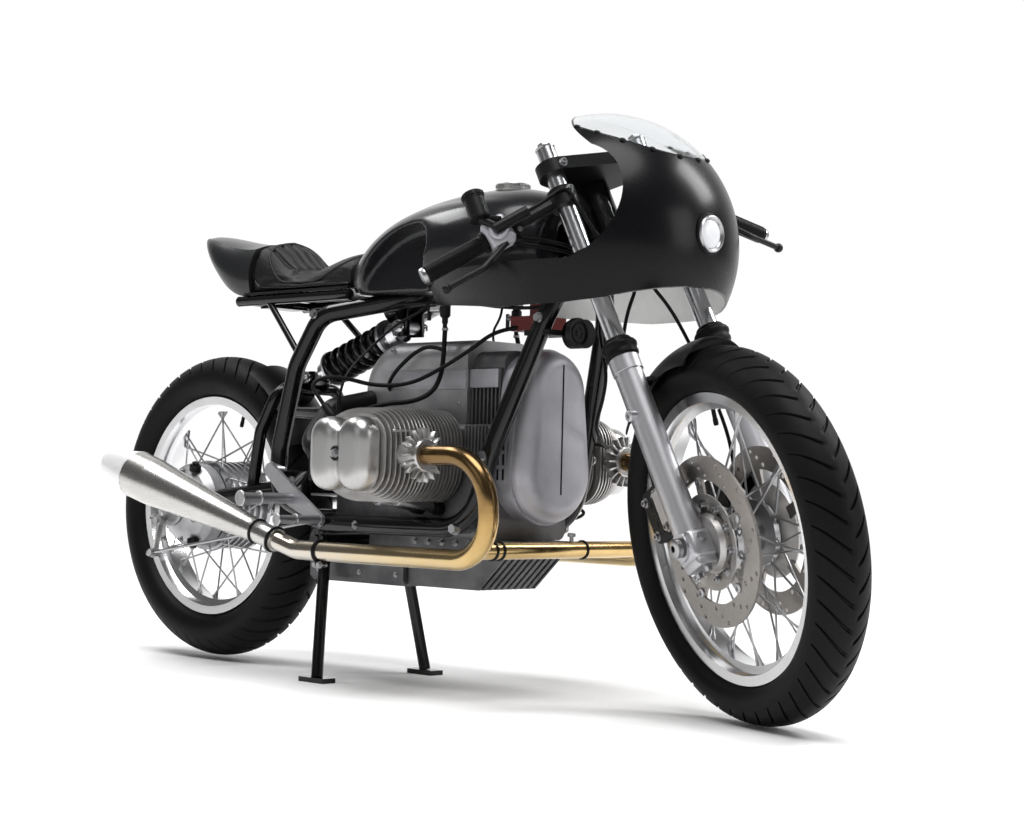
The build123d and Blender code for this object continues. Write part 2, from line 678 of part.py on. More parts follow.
def fillet_ring(part):
    """Rounds the housing's widest edge."""
    rings = part.edges().filter_by(GeomType.CIRCLE).sort_by(lambda edge: edge.radius)
    return fillet(rings[-1:], 6)


def rear_axle():
    """The rear axle with its nuts."""
    low = -(REAR_HUB_HALF + DRIVE_GAP + DRIVE_DEPTH) - FIT
    axle = cross_rod(0, REAR_AXLE_Z, AXLE_RADIUS, low - 14, 140)
    axle += cross_rod(0, REAR_AXLE_Z, AXLE_RADIUS + 7, low - 12, low)
    return axle + cross_rod(0, REAR_AXLE_Z, AXLE_RADIUS + 7, 126 + FIT, 138)


def shock():
    """The single shock absorber: two eyes, the damper body and a collar at each end of the spring."""
    low, top = Vector(SHOCK_LOW), Vector(SHOCK_TOP)
    length = (top - low).length
    seat_low, seat_top = SPRING_INSET, length - SPRING_INSET
    points = [
        *((0, 13), (13, 13), (13, seat_low - 12), (DAMPER_RADIUS, seat_low - 12)),
        *((DAMPER_RADIUS, seat_low - 5), (COLLAR_RADIUS, seat_low - 5), (COLLAR_RADIUS, seat_low)),
        *((DAMPER_RADIUS, seat_low), (DAMPER_RADIUS, seat_top), (COLLAR_RADIUS, seat_top)),
        *((COLLAR_RADIUS, seat_top + 8), (DAMPER_RADIUS, seat_top + 8), (DAMPER_RADIUS, length - 30)),
        *((13, length - 22), (13, length - 13), (0, length - 13)),
    ]
    body = turned(points, low, top)
    for eye in (low, top):
        body += cross_rod(eye.X, eye.Z, SHOCK_EYE_RADIUS, -SHOCK_EYE_HALF, SHOCK_EYE_HALF)
    return body


def shock_spring():
    """The coil spring between the shock absorber's collars."""
    low, top = Vector(SHOCK_LOW), Vector(SHOCK_TOP)
    length = (top - low).length
    height = length - 2 * SPRING_INSET
    path = Helix(pitch=height / SPRING_TURNS, height=height, radius=SPRING_RADIUS)
    wire = sweep(Plane(path @ 0, z_dir=path % 0) * Circle(SPRING_WIRE_RADIUS), path, is_frenet=True)
    wire &= Pos(0, 0, height / 2) * Cylinder(2 * SPRING_RADIUS, height - 2 * FIT)
    return Plane(low, z_dir=top - low).location * Pos(0, 0, SPRING_INSET) * wire


def rear_guard():
    """The short rear mudguard ahead of the tyre, with its bracket to the swingarm's hoop."""
    inner = REAR_TYRE_RADIUS + GUARD_GAP
    skin = guard(inner, 66, 20, (24, 62))
    hoop_angle = degrees(atan2(600 - REAR_AXLE_Z, 285))
    reach = hypot(600 - REAR_AXLE_Z, 285) - 13 - FIT
    foot = inner + GUARD_WALL - 1
    bracket = Rot(0, -hoop_angle, 0) * block(foot, reach, 16, -8, 8)
    return rear_wheel_place(skin + bracket)


def footrest():
    """A side plate bolted to the frame's rear loop, with the footpeg and the toe peg."""
    plate_y = -150
    table = (
        # forward, up, eye's radius, peg's radius, peg's end
        (345, 424, 14, 13, -LOOP_HALF),
        (415, 366, 16, 11, -288),
        (506, 326, 11, 9, -268),
    )
    outline = make_hull([edge for x, z, eye, *_ in table for edge in (Pos(x, z) * Circle(eye)).edges()])
    rest = extrude(Plane.XZ.offset(-plate_y) * outline, amount=PLATE)
    for x, z, _, peg, end in table:
        rest += rod((x, plate_y, z), (x, end, z), peg)
    return rest - main_tubes()


def centre_stand():
    """Two splayed legs on a cross tube, with a flat foot each."""
    foot_x, foot_height = STAND_X + STAND_FOOT_FORWARD, 10
    half = STAND_LUG_SIDE - 1
    whole = cross_rod(STAND_X, STAND_Z, STAND_PIN_RADIUS + 7, -half, half)
    pin_half = STAND_LUG_SIDE + PLATE + 4
    whole += cross_rod(STAND_X, STAND_Z, STAND_PIN_RADIUS, -pin_half, pin_half)
    for side in (-1, 1):
        ankle = (foot_x, side * STAND_FOOT_SIDE, foot_height)
        whole += rod((STAND_X, side * STAND_LEG_SIDE, STAND_Z), ankle, STAND_TUBE_RADIUS)
        whole += Pos(foot_x, side * STAND_FOOT_SIDE, foot_height / 2) * Box(74, 34, foot_height)
    return whole & block(STAND_X - 300, STAND_X + 300, 300, 0, STAND_Z + 60)


# Engine


def crankcase():
    """The crankcase with the ribbed starter cover on top and a boss to each frame rail."""
    case = block(ENGINE_REAR, ENGINE_FRONT, CASE_HALF, CASE_BOTTOM, CASE_TOP)
    case = fillet(case.edges().filter_by(Axis.X), 18)
    top = block(TOP_COVER_REAR, ENGINE_FRONT, TOP_COVER_HALF, CASE_TOP - 1, TOP_COVER_TOP)
    top = fillet(top.edges().filter_by(Axis.X).sort_by(Axis.Z)[-2:], 30)
    case += top
    rib_pitch = (ENGINE_FRONT - TOP_COVER_REAR) / TOP_RIBS
    for k in range(TOP_RIBS):
        x = TOP_COVER_REAR + rib_pitch * (k + 0.3)
        case += block(x, x + rib_pitch * 0.4, TOP_COVER_HALF + 7, CASE_TOP - 1, TOP_COVER_TOP - 34)
    for x, rail_y in ((730, 130.4), (880, 136.3)):
        case += cross_rod(x, 325, 14, -(rail_y - RAIL_RADIUS - FIT), rail_y - RAIL_RADIUS - FIT)
    return case


def front_cover():
    """The tall rounded cover on the front of the engine."""
    eyes = ((COVER_LOW_Z, COVER_LOW_RADIUS), (COVER_HIGH_Z, COVER_HIGH_RADIUS))
    outline = make_hull([edge for z, r in eyes for edge in (Pos(0, z) * Circle(r)).edges()])
    cover = extrude(Plane.YZ.offset(ENGINE_FRONT) * outline, amount=FRONT_COVER_DEPTH)
    cover = fillet(cover.faces().sort_by(Axis.X)[-1].edges(), FRONT_COVER_ROUND)
    lip_x = ENGINE_FRONT + (FRONT_COVER_DEPTH - COVER_LIP_WIDTH) / 2
    lip = extrude(Plane.YZ.offset(lip_x) * offset(outline, COVER_LIP), amount=COVER_LIP_WIDTH)
    return cover + lip


def finned_cylinder(side):
    """A finned barrel and head with the inlet and exhaust ports, drawn on the right about its own axis."""
    core = rod((0, -CASE_HALF - FIT, 0), (0, -HEAD_START, 0), BARREL_RADIUS)
    core += block(-70, 70, (HEAD_END - HEAD_START) / 2, -58, 58, -(HEAD_START + HEAD_END) / 2)
    count = int((HEAD_END - CASE_HALF - 16) / FIN_PITCH)
    for k in range(count):
        y = CASE_HALF + 16 + FIN_PITCH * k
        width, height, corner = HEAD_FIN if y > HEAD_START else BARREL_FIN
        fin = extrude(RectangleRounded(width, height, corner), amount=FIN_THICKNESS)
        core += Pos(0, -y, 0) * Rot(90, 0, 0) * fin
    core += rod((0, -PORT_SIDE, 0), (PORT_REACH, -PORT_SIDE, 0), PORT_RADIUS)
    core -= rod((PORT_REACH - 20, -PORT_SIDE, 0), (PORT_REACH + 1, -PORT_SIDE, 0), PIPE_RADIUS + FIT)
    core += rod((0, -PORT_SIDE + 10, 8), (-INLET_REACH, -PORT_SIDE + 10, 8), PORT_RADIUS - 3)
    for x in (-24, 24):
        low = -BARREL_FIN[1] / 2
        core += rod((x, -CASE_HALF - 2, low + 4), (x, -HEAD_START - 8, low + 12), 9)
    return Pos(CYLINDER_X[side], 0, CYLINDER_Z) * core


def valve_cover(side):
    """A valve cover with two rounded lobes."""
    width, height = COVER_LOBE
    whole = Part()
    for shift in (-COVER_LOBE_SHIFT, COVER_LOBE_SHIFT):
        lobe = extrude(RectangleRounded(width, height, width / 2 - 2), amount=COVER_DEPTH)
        lobe = fillet(lobe.faces().sort_by(Axis.Z)[-1].edges(), COVER_LOBE_ROUND)
        whole += Pos(shift, 0, 0) * lobe
    place = Pos(CYLINDER_X[side], -HEAD_END - FIT, CYLINDER_Z) * Rot(90, 0, 0)
    return place * whole


def exhaust_nut(side):
    """The star shaped nut that holds the header in its port."""
    petal = Pos((NUT_RADIUS + NUT_REACH) / 2, 0) * RectangleRounded(NUT_REACH - NUT_RADIUS + 12, 8, 3)
    face = Circle(NUT_RADIUS) + PolarLocations(0, NUT_PETALS) * petal - Circle(PIPE_RADIUS + FIT)
    nut = extrude(face, amount=NUT_WIDTH)
    start = CYLINDER_X[side] + PORT_REACH + FIT
    return Pos(start, -PORT_SIDE, CYLINDER_Z) * Rot(0, 90, 0) * nut


def on_its_side(part, side):
    """A right hand part, or its mirror image for the left."""
    return part if side == "right" else mirror(part, about=Plane.XZ)


def pair(make):
    """A part made for each side of the engine, since the two cylinders stand apart."""
    return Part() + [on_its_side(make(side), side) for side in CYLINDER_X]


def header(side):
    """The exhaust pipe: forward from the port, round and back under the cylinder."""
    start = CYLINDER_X[side] + PORT_REACH - 18
    low = Vector(SILENCER_START[0], -SILENCER_START[1], SILENCER_START[2])
    tip = Vector(SILENCER_TIP[0], -SILENCER_TIP[1], SILENCER_TIP[2])
    back = (low - tip).normalized()
    knee = low + back * ((low.Z - PIPE_LOW_Z) / -back.Z)
    points = [
        (start, -PORT_SIDE, CYLINDER_Z),
        (PIPE_NOSE, -PORT_SIDE, CYLINDER_Z),
        (PIPE_NOSE, -PORT_SIDE + 18, PIPE_LOW_Z),
        (knee.X, knee.Y, knee.Z),
        (low.X, low.Y, low.Z),
    ]
    return bent_tube(points, PIPE_RADIUS, (PIPE_BEND, PIPE_BEND, 60))


def headers():
    """Both exhaust pipes joined by the balance pipe in front of the sump."""
    turn_x = PIPE_NOSE - PIPE_BEND
    cross_x = turn_x + 54
    cross_z = PIPE_LOW_Z + PIPE_BEND - (PIPE_BEND**2 - (cross_x - turn_x) ** 2) ** 0.5
    reach = PORT_SIDE - 18
    return pair(header) + cross_rod(cross_x, cross_z, CROSS_RADIUS, -reach, reach)


def silencer():
    """A reverse cone megaphone on the end of the header."""
    low = Vector(SILENCER_START[0], -SILENCER_START[1], SILENCER_START[2])
    tip = Vector(SILENCER_TIP[0], -SILENCER_TIP[1], SILENCER_TIP[2])
    length = (tip - low).length
    collar, cone = 62, length - 96
    mouth, wall = 27, 3
    points = [
        *((0, FIT), (PIPE_RADIUS + 4, FIT), (PIPE_RADIUS + 4, collar), (SILENCER_RADIUS, cone - 60)),
        *((SILENCER_RADIUS, cone), (mouth, length), (mouth - wall, length)),
        *((mouth - wall, cone + 10), (0, cone + 10)),
    ]
    return turned(points, low, tip)


def sump():
    """The finned oil pan with its sloped front."""
    top = CASE_BOTTOM - FIT
    lip = top - SUMP_LIP
    slope = (lip - SUMP_BOTTOM) / (SUMP_NOSE - SUMP_TOE)
    corners = [(ENGINE_REAR, top), (ENGINE_REAR, SUMP_BOTTOM), (SUMP_TOE, SUMP_BOTTOM)]
    outline = Polyline(*corners, (SUMP_NOSE, lip), (SUMP_NOSE, top), close=True)
    pan = side_plate(outline, -SUMP_HALF, SUMP_HALF)
    pitch = 2 * SUMP_HALF / SUMP_FINS
    groove_angle = degrees(atan2(slope, 1))
    middle = ((SUMP_TOE + SUMP_NOSE) / 2, (SUMP_BOTTOM + lip) / 2)
    for k in range(SUMP_FINS):
        groove = Rot(0, -groove_angle, 0) * Box(200, pitch * 0.45, 22)
        pan -= Pos(middle[0], -SUMP_HALF + pitch * (k + 0.5), middle[1]) * groove
    return pan


def gearbox():
    """The gearbox behind the crankcase."""
    box = block(GEARBOX_REAR, ENGINE_REAR - FIT, GEARBOX_HALF, CASE_BOTTOM + 14, CASE_TOP - FIT)
    return fillet(box.edges().filter_by(Axis.X), 22)


def belly_tray():
    """The shallow tray under the gearbox, on its hanger."""
    tray = block(TRAY_REAR, TRAY_FRONT, TRAY_HALF, TRAY_BOTTOM, TRAY_TOP)
    tray = chamfer(tray.edges().filter_by(Axis.X).sort_by(Axis.Z)[:2], 10)
    return tray + block(STAND_X + 70, TRAY_FRONT - 20, 50, TRAY_TOP - 1, CASE_BOTTOM + 14 - FIT)


def airbox():
    """The air filter housing above the gearbox, rounded at the back."""
    base = CASE_TOP + FIT
    front = TOP_COVER_REAR - FIT
    spring, crown = (AIRBOX_REAR, AIRBOX_TOP - AIRBOX_ROUND), (AIRBOX_REAR + AIRBOX_ROUND, AIRBOX_TOP)
    outline = [
        Line((AIRBOX_REAR, base), spring),
        TangentArc(spring, crown, tangent=(0, 1)),
        Line(crown, (front, AIRBOX_TOP)),
        Line((front, AIRBOX_TOP), (front, base)),
        Line((front, base), (AIRBOX_REAR, base)),
    ]
    box = side_plate(outline, -AIRBOX_HALF, AIRBOX_HALF)
    edges = box.edges().filter_by(GeomType.CIRCLE) + box.edges().filter_by(Axis.X).sort_by(Axis.Z)[-2:]
    return fillet(edges + box.edges().filter_by(Axis.Z).sort_by(Axis.X)[:2], AIRBOX_EDGE)


def carburettor(side):
    """A carburettor on the head's inlet with its bowl, dome and the hose to the air box."""
    x = CYLINDER_X[side] - INLET_REACH - FIT
    y, z = -PORT_SIDE + 10, CYLINDER_Z + 8
    body_length, body_radius, hose_radius = 60, 28, 20
    middle = x - body_length / 2
    body = rod((x, y, z), (x - body_length, y, z), body_radius)
    body += rod((middle, y, z), (middle, y, z + 52), body_radius - 4)
    body += block(middle - 24, middle + 24, body_radius - 3, z - 60, z, y)
    turn_x = x - body_length - 30
    hose_end = (turn_x + 4, -AIRBOX_HALF + hose_radius, CASE_TOP + 52)
    hose = [(x - body_length + 10, y, z), (turn_x, y, z + 6), (turn_x, y + 60, hose_end[2] - 24), hose_end]
    airbox_side = block(AIRBOX_REAR - 60, TOP_COVER_REAR, AIRBOX_HALF + FIT, CASE_TOP, AIRBOX_TOP)
    return body + bent_tube(hose, hose_radius, (34, 30)) - airbox_side


# Bodywork


def fairing_egg(grow):
    """The fairing's whole solid of revolution, larger or smaller by a wall."""
    radius, flank = FAIRING_RADIUS + grow, FLANK_RADIUS + grow
    tail_x = 330
    tail_radius = radius - flank + (flank**2 - tail_x**2) ** 0.5
    diagonal = sin(radians(45))
    middle_x = tail_x / 2
    middle_radius = radius - flank + (flank**2 - middle_x**2) ** 0.5
    section = make_face(
        [
            ThreePointArc((radius, 0), (radius * diagonal, radius * diagonal), (0, radius)),
            ThreePointArc((0, radius), (-middle_x, middle_radius), (-tail_x, tail_radius)),
            Line((-tail_x, tail_radius), (-tail_x, 0)),
            Line((-tail_x, 0), (radius, 0)),
        ]
    )
    return Pos(FAIRING_X, 0, FAIRING_Z) * revolve(section, Axis.X)


# Screen base line in side view, forward and up, from the wing's tip to the nose
SCREEN_BASE = ((1148, 1058), (1236, 1030), (1312, 1001))


def fairing():
    """The half fairing: a thin egg, cut away for the bars, the screen and the fork."""
    nose = FAIRING_X + FAIRING_RADIUS + 40
    wing, brow, peak = SCREEN_BASE
    lower = [(832, 744), (1054, 727), (1190, 730), (1257, 739), (1308, 753), (nose, 784)]
    cutout_low, cutout_high = (1222, 806), (1216, 1015)
    outline = [
        *[Line(a, b) for a, b in zip(lower, lower[1:])],
        Line(lower[-1], (nose, peak[1])),
        Line((nose, peak[1]), peak),
        Line(peak, brow),
        Line(brow, wing),
        Line(wing, cutout_high),
        ThreePointArc(cutout_high, (1293, 908), cutout_low),
        Line(cutout_low, (890, 800)),
        Line((890, 800), (832, 776)),
        Line((832, 776), lower[0]),
    ]
    keep = side_plate(outline, -2 * FAIRING_RADIUS, 2 * FAIRING_RADIUS)
    shell = (fairing_egg(0) - fairing_egg(-FAIRING_WALL)) & keep
    return shell - rod((FAIRING_X, 0, LAMP_Z), (nose, 0, LAMP_Z), LAMP_RADIUS + FIT)


def windscreen():
    """The clear bubble that carries on the fairing's round above its edge."""
    nose = FAIRING_X + FAIRING_RADIUS + 40
    base = [(x, z + FIT) for x, z in SCREEN_BASE]
    top = FAIRING_Z + FAIRING_RADIUS + 60
    outline = Polyline(*base, (nose, base[-1][1]), (nose, top), (1088, top), (1088, 1098), close=True)
    keep = side_plate(outline, -2 * FAIRING_RADIUS, 2 * FAIRING_RADIUS)
    return (fairing_egg(0) - fairing_egg(-SCREEN_WALL)) & keep


def headlamp():
    """The small round lamp's body and bezel in the fairing's nose."""
    front = FAIRING_X + FAIRING_RADIUS + 4
    body = rod((LAMP_BACK, 0, LAMP_Z), (front, 0, LAMP_Z), LAMP_RADIUS)
    return body - rod((front - 30, 0, LAMP_Z), (front + 1, 0, LAMP_Z), LAMP_RADIUS - LAMP_WALL)


def headlamp_lens():
    """The rounded lens inside the bezel."""
    front = FAIRING_X + FAIRING_RADIUS + 2
    lens = rod((front - 12, 0, LAMP_Z), (front, 0, LAMP_Z), LAMP_RADIUS - LAMP_WALL - FIT)
    return fillet(lens.edges().filter_by(GeomType.CIRCLE).sort_by(Axis.X)[-1:], 7)


def fairing_stay():
    """The stay from the headstock to the lamp, with a cross tube that carries the fairing."""
    level = LAMP_Z + 6
    start_up = (level + 25) / RAKE_COS - 12
    start = FORK.from_local_coords(Vector(HEAD_RADIUS - 4, 0, start_up))
    cross_x = LAMP_BACK - STAY_RADIUS - FIT
    stay = rod(start, (cross_x + 4, 0, level), STAY_RADIUS + 4)
    corner = hypot(cross_x + STAY_RADIUS - FAIRING_X, level + STAY_RADIUS - FAIRING_Z)
    reach = ((FAIRING_RADIUS - FAIRING_WALL) ** 2 - corner**2) ** 0.5 - FIT
    stay += cross_rod(cross_x, level, STAY_RADIUS, -reach, reach)
    return stay - headstock(rod((0, 0, HEAD_LOW), (0, 0, HEAD_HIGH), HEAD_RADIUS + FIT))


def lofted(table):
    """A crowned body lofted along X. Each row: forward, bottom, bottom half, widest half and its height,
    shoulder half and its height, top."""
    sections = []
    for x, low, low_half, wide, wide_z, top_half, shoulder, top in table:
        edges = [
            Line((-low_half, low), (low_half, low)),
            ThreePointArc((low_half, low), (wide, wide_z), (top_half, shoulder)),
            ThreePointArc((top_half, shoulder), (0, top), (-top_half, shoulder)),
            ThreePointArc((-top_half, shoulder), (-wide, wide_z), (-low_half, low)),
        ]
        sections.append(Plane.YZ.offset(x) * make_face(edges))
    return loft(sections)


def knee_recess():
    """The block that cuts the tank's right knee recess, leaning in toward the top."""
    outline = [
        Line((560, 760), (757, 760)),
        Line((757, 760), (797, 852)),
        ThreePointArc((797, 852), (784, 889), (742, 903)),
        ThreePointArc((742, 903), (651, 876), (592, 823)),
        Line((592, 823), (560, 760)),
    ]
    cut = Pos(0, RECESS_SIDE, -RECESS_FOOT) * side_plate(outline, -2 * RECESS_SIDE, -RECESS_SIDE)
    return Pos(0, -RECESS_SIDE, RECESS_FOOT) * Rot(-RECESS_LEAN, 0, 0) * cut


def tank():
    """The fuel tank, lofted from the seat to the headstock, with knee recesses and a backbone tunnel."""
    shell = lofted(
        (
            (520, 782, 84, 96, 802, 70, 836, 852),
            (590, 780, 112, 132, 816, 88, 896, 916),
            (700, 778, 118, 154, 834, 96, 938, 962),
            (860, 778, 114, 160, 850, 98, 952, 980),
            (985, 790, 92, 122, 856, 78, 938, 962),
            (1030, 800, 70, 92, 852, 60, 910, 930),
        )
    )
    shell -= both_sides(knee_recess())
    front, rear = backbone_line()
    half = BACKBONE_RADIUS + 5
    high = [(rear.X - 40, rear.Z + half), (front.X + 20, front.Z + half + 10)]
    channel = Polyline(*high, (front.X + 20, 700), (rear.X - 40, 700), close=True)
    shell -= side_plate(channel, -half, half)
    for side in (-1, 1):
        shell -= bent_tube(rail_points(side), RAIL_RADIUS + FIT, RAIL_BENDS)
    return shell - headstock(rod((0, 0, HEAD_LOW - 40), (0, 0, HEAD_HIGH + 60), HEAD_RADIUS + 6))


def tank_cap(tank_solid):
    """The round filler cap."""
    return Pos(TANK_CAP_X, 0, 975) * Cylinder(33, 34) - tank_solid


def seat_pad():
    """The seat's plain solid: a low saddle with a bump stop behind and a raised nose."""
    rear, front = SEAT_REAR + FIT, SEAT_FRONT
    return lofted(
        (
            (rear, SEAT_Z, 90, SEAT_HALF, 850, 80, 900, 916),
            (rear + 34, SEAT_Z, 90, SEAT_HALF, 846, 78, 896, 918),
            (rear + 100, SEAT_Z, 92, SEAT_HALF + 1, 826, 86, 846, 860),
            (rear + 166, SEAT_Z, 92, SEAT_HALF + 1, 822, 86, 834, 846),
            (rear + 236, SEAT_Z, 92, SEAT_HALF, 826, 82, 850, 868),
            (front, SEAT_Z, 88, SEAT_HALF - 4, 832, 70, 866, 886),
        )
    )


def tail_cowl():
    """The tail behind the seat, kicked up and undercut, with the flat pan under the seat."""
    low = SEAT_Z - FIT - PAN_THICKNESS
    cowl = lofted(
        (
            (TAIL_REAR, 920, 44, 56, 932, 44, 940, 947),
            (TAIL_REAR + 52, 866, 68, 84, 898, 66, 928, 939),
            (TAIL_REAR + 118, 818, 82, 96, 862, 76, 910, 926),
            (SEAT_REAR, low, 92, SEAT_HALF + 2, 850, 80, 900, 916),
        )
    )
    return cowl + block(SEAT_REAR - 10, SEAT_FRONT, SEAT_HALF + 4, low, low + PAN_THICKNESS)


def horn(frame_solid):
    """The horn and its strap on the right front tube."""
    x, y, z = HORN_PLACE
    depth, strap = 18, 36
    body = rod((x - depth, y, z), (x + depth, y, z), HORN_RADIUS)
    return body + block(x - 2 * strap, x - depth / 2, strap, z - 5, z + 5, y - strap) - frame_solid


def ignition_coil():
    """The ignition coil block hung under the backbone."""
    front, rear = backbone_line()
    backbone_z = rear.Z + (front.Z - rear.Z) * (COIL_X - rear.X) / (front.X - rear.X)
    hanger = block(COIL_X - 10, COIL_X + 10, 14, COIL_TOP - 1, backbone_z)
    coil = block(COIL_X - 34, COIL_X + 34, 42, COIL_TOP - COIL_HEIGHT, COIL_TOP)
    return coil + hanger - rod(front, rear, BACKBONE_RADIUS + FIT)


def build():
    """Every named piece, in its place forward of the rear axle."""
    pieces = {
        "front_tyre": front_wheel_place(
            tyre(FRONT_TYRE_RADIUS, FRONT_TYRE_WIDTH, FRONT_LIP_RADIUS, FRONT_RIM_HALF)
        ),
        "front_rim": front_wheel_place(rim(FRONT_LIP_RADIUS, FRONT_RIM_HALF)),
        "front_hub": front_wheel_place(front_hub()),
        "front_discs": front_wheel_place(Part() + [brake_disc(-1), brake_disc(1)]),
        "rear_tyre": rear_wheel_place(tyre(REAR_TYRE_RADIUS, REAR_TYRE_WIDTH, REAR_LIP_RADIUS, REAR_RIM_HALF)),
        "rear_rim": rear_wheel_place(rim(REAR_LIP_RADIUS, REAR_RIM_HALF)),
        "rear_hub": rear_wheel_place(rear_hub()),
        "fork_tubes": steered(fork_legs(TUBE_RADIUS, SLIDER_TOP - TUBE_INSERT + FIT, TUBE_TOP)),
        "fork_sliders": steered(fork_sliders()),
        "dust_boots": steered(dust_boots()),
        "top_yoke": steered(top_yoke()),
        "lower_yoke": steered(lower_yoke()),
        "clip_ons": steered(both_sides(clip_on())),
        "grips": steered(both_sides(grip())),
        "brake_control": steered(hand_control(True)),
        "clutch_control": steered(mirror(hand_control(False), about=Plane.XZ)),
        "calipers": steered(calipers()),
        "front_axle": steered(front_axle()),
        "front_mudguard": front_wheel_place(front_guard()),
        "subframe": subframe(),
        "swingarm": swingarm(),
        "final_drive": final_drive(),
        "rear_axle": rear_axle(),
        "shock": shock(),
        "shock_spring": shock_spring(),
        "rear_mudguard": rear_guard(),
        "footrests": both_sides(footrest()),
        "centre_stand": centre_stand(),
        "crankcase": crankcase(),
        "front_cover": front_cover(),
        "cylinders": pair(finned_cylinder),
        "valve_covers": pair(valve_cover),
        "exhaust_nuts": pair(exhaust_nut),
        "exhaust_headers": headers(),
        "silencers": both_sides(silencer()),
        "sump": sump(),
        "gearbox": gearbox(),
        "belly_tray": belly_tray(),
        "airbox": airbox(),
        "carburettors": pair(carburettor),
        "fairing": fairing(),
        "windscreen": windscreen(),
        "headlamp": headlamp(),
        "headlamp_lens": headlamp_lens(),
        "fairing_stay": fairing_stay(),
        "seat_pad": seat_pad(),
        "tail_cowl": tail_cowl(),
        "ignition_coil": ignition_coil(),
    }
    pieces["frame"] = frame()
    pieces["tank"] = tank()
    pieces["tank_cap"] = tank_cap(pieces["tank"])
    pieces["horn"] = horn(pieces["frame"])
    return pieces


if __name__ == "__main__":
    os.makedirs("parts", exist_ok=True)
    print(f"origin {MIDDLE_X:.3f} mm forward of the rear axle")
    for name, piece in build().items():
        export_step(Pos(-MIDDLE_X, 0, 0) * piece, f"parts/{name}.step")
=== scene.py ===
"""Looks of a cafe racer motorcycle with a flat twin engine: its finishes and the detailed pieces on its solids."""

import logging
from dataclasses import dataclass
from enum import Enum
from math import atan2, cos, exp, hypot, pi, radians, sin, sqrt, tau
from typing import Any, Optional, Sequence

import bmesh
import bpy
from mathutils import Matrix, Vector
from mathutils.bvhtree import BVHTree


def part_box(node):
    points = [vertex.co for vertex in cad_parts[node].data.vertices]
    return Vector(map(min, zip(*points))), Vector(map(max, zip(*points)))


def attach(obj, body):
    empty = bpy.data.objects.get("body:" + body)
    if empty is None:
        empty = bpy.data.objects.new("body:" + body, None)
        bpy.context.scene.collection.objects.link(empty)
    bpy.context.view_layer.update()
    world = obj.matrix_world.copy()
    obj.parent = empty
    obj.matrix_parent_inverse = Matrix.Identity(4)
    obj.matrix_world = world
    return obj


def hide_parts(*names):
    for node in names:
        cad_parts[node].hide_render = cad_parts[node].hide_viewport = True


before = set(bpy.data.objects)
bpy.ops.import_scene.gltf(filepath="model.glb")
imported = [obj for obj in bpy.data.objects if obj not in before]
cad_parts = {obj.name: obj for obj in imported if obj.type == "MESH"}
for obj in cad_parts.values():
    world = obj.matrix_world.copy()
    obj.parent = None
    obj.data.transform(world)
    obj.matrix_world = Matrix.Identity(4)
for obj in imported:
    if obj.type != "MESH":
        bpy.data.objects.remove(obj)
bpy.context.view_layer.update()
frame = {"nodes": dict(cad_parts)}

LOG = logging.getLogger("motorcycle")
Point = Sequence[float]
Triple = tuple[float, float, float]
Colour = Triple
Profile = Sequence[tuple[float, float]]
Socket = bpy.types.NodeSocket
Material = bpy.types.Material
Object = bpy.types.Object


class Body(str, Enum):
    """The rigid bodies that pieces ride on."""

    CHASSIS = "chassis"
    FORK = "fork"
    FRONT_WHEEL = "front_wheel"
    REAR_WHEEL = "rear_wheel"


@dataclass(frozen=True)
class Layout:
    """The machine's main places in millimetres, forward of the rear axle, and the frame they map to."""

    wheelbase: float = 1465.0
    rake: float = 27.2
    fork_offset: float = 58.0
    steer_stop: float = 22.5
    front_radius: float = 331.0
    rear_radius: float = 334.0
    stand_lift: float = 8.0

    @property
    def trail(self) -> float:
        """How far the steering axis meets the floor ahead of the front wheel's foot."""
        rake = radians(self.rake)
        return (self.front_radius * sin(rake) - self.fork_offset) / cos(rake)

    @property
    def axle_up(self) -> float:
        """The front axle's height along the steering axis."""
        rake = radians(self.rake)
        return self.trail * sin(rake) + self.front_radius * cos(rake)

    @property
    def middle(self) -> float:
        """How far the origin lies forward of the rear axle."""
        side = cos(radians(self.rake)) * sin(radians(self.steer_stop))
        front = self.wheelbase + self.front_radius * sqrt(1 - side * side)
        return (front - self.rear_radius) / 2

    @property
    def rear_axle_z(self) -> float:
        """The rear axle's height."""
        return self.rear_radius + self.stand_lift

    def at(self, x: float, y: float, z: float) -> Vector:
        """A point of the chassis in metres."""
        return Vector(((x - self.middle) / 1000, y / 1000, z / 1000))

    def fork_frame(self) -> Matrix:
        """The steered fork's frame at rest.

        Returns:
            The frame: forward, left and up along the steering axis.
        """
        rake = radians(self.rake)
        up = Vector((-sin(rake), 0, cos(rake)))
        ahead = Vector((cos(rake), 0, sin(rake)))
        turn = Matrix.Rotation(radians(-self.steer_stop), 3, up)
        ahead, side = turn @ ahead, turn @ Vector((0, 1, 0))
        foot = self.at(self.wheelbase + self.trail, 0, 0)
        frame_matrix = Matrix((ahead, side, up)).transposed().to_4x4()
        frame_matrix.translation = foot
        return frame_matrix

    def fork(self, ahead: float, side: float, up: float) -> Vector:
        """A point of the steered fork in metres."""
        return self.fork_frame() @ (Vector((ahead, side, up)) / 1000)

    def front_wheel(self) -> Matrix:
        """The front wheel's frame: its centre, with the axle along Y."""
        return self.fork_frame() @ Matrix.Translation(Vector((self.fork_offset, 0, self.axle_up)) / 1000)

    def rear_wheel(self) -> Matrix:
        """The rear wheel's frame: its centre, with the axle along Y."""
        return Matrix.Translation(self.at(0, 0, self.rear_axle_z))


PLAN = Layout()
UP = Vector((0, 0, 1))
AHEAD = Vector((1, 0, 0))
LEFT = Vector((0, 1, 0))
SIDES = (-1, 1)  # right and left
at, fork = PLAN.at, PLAN.fork


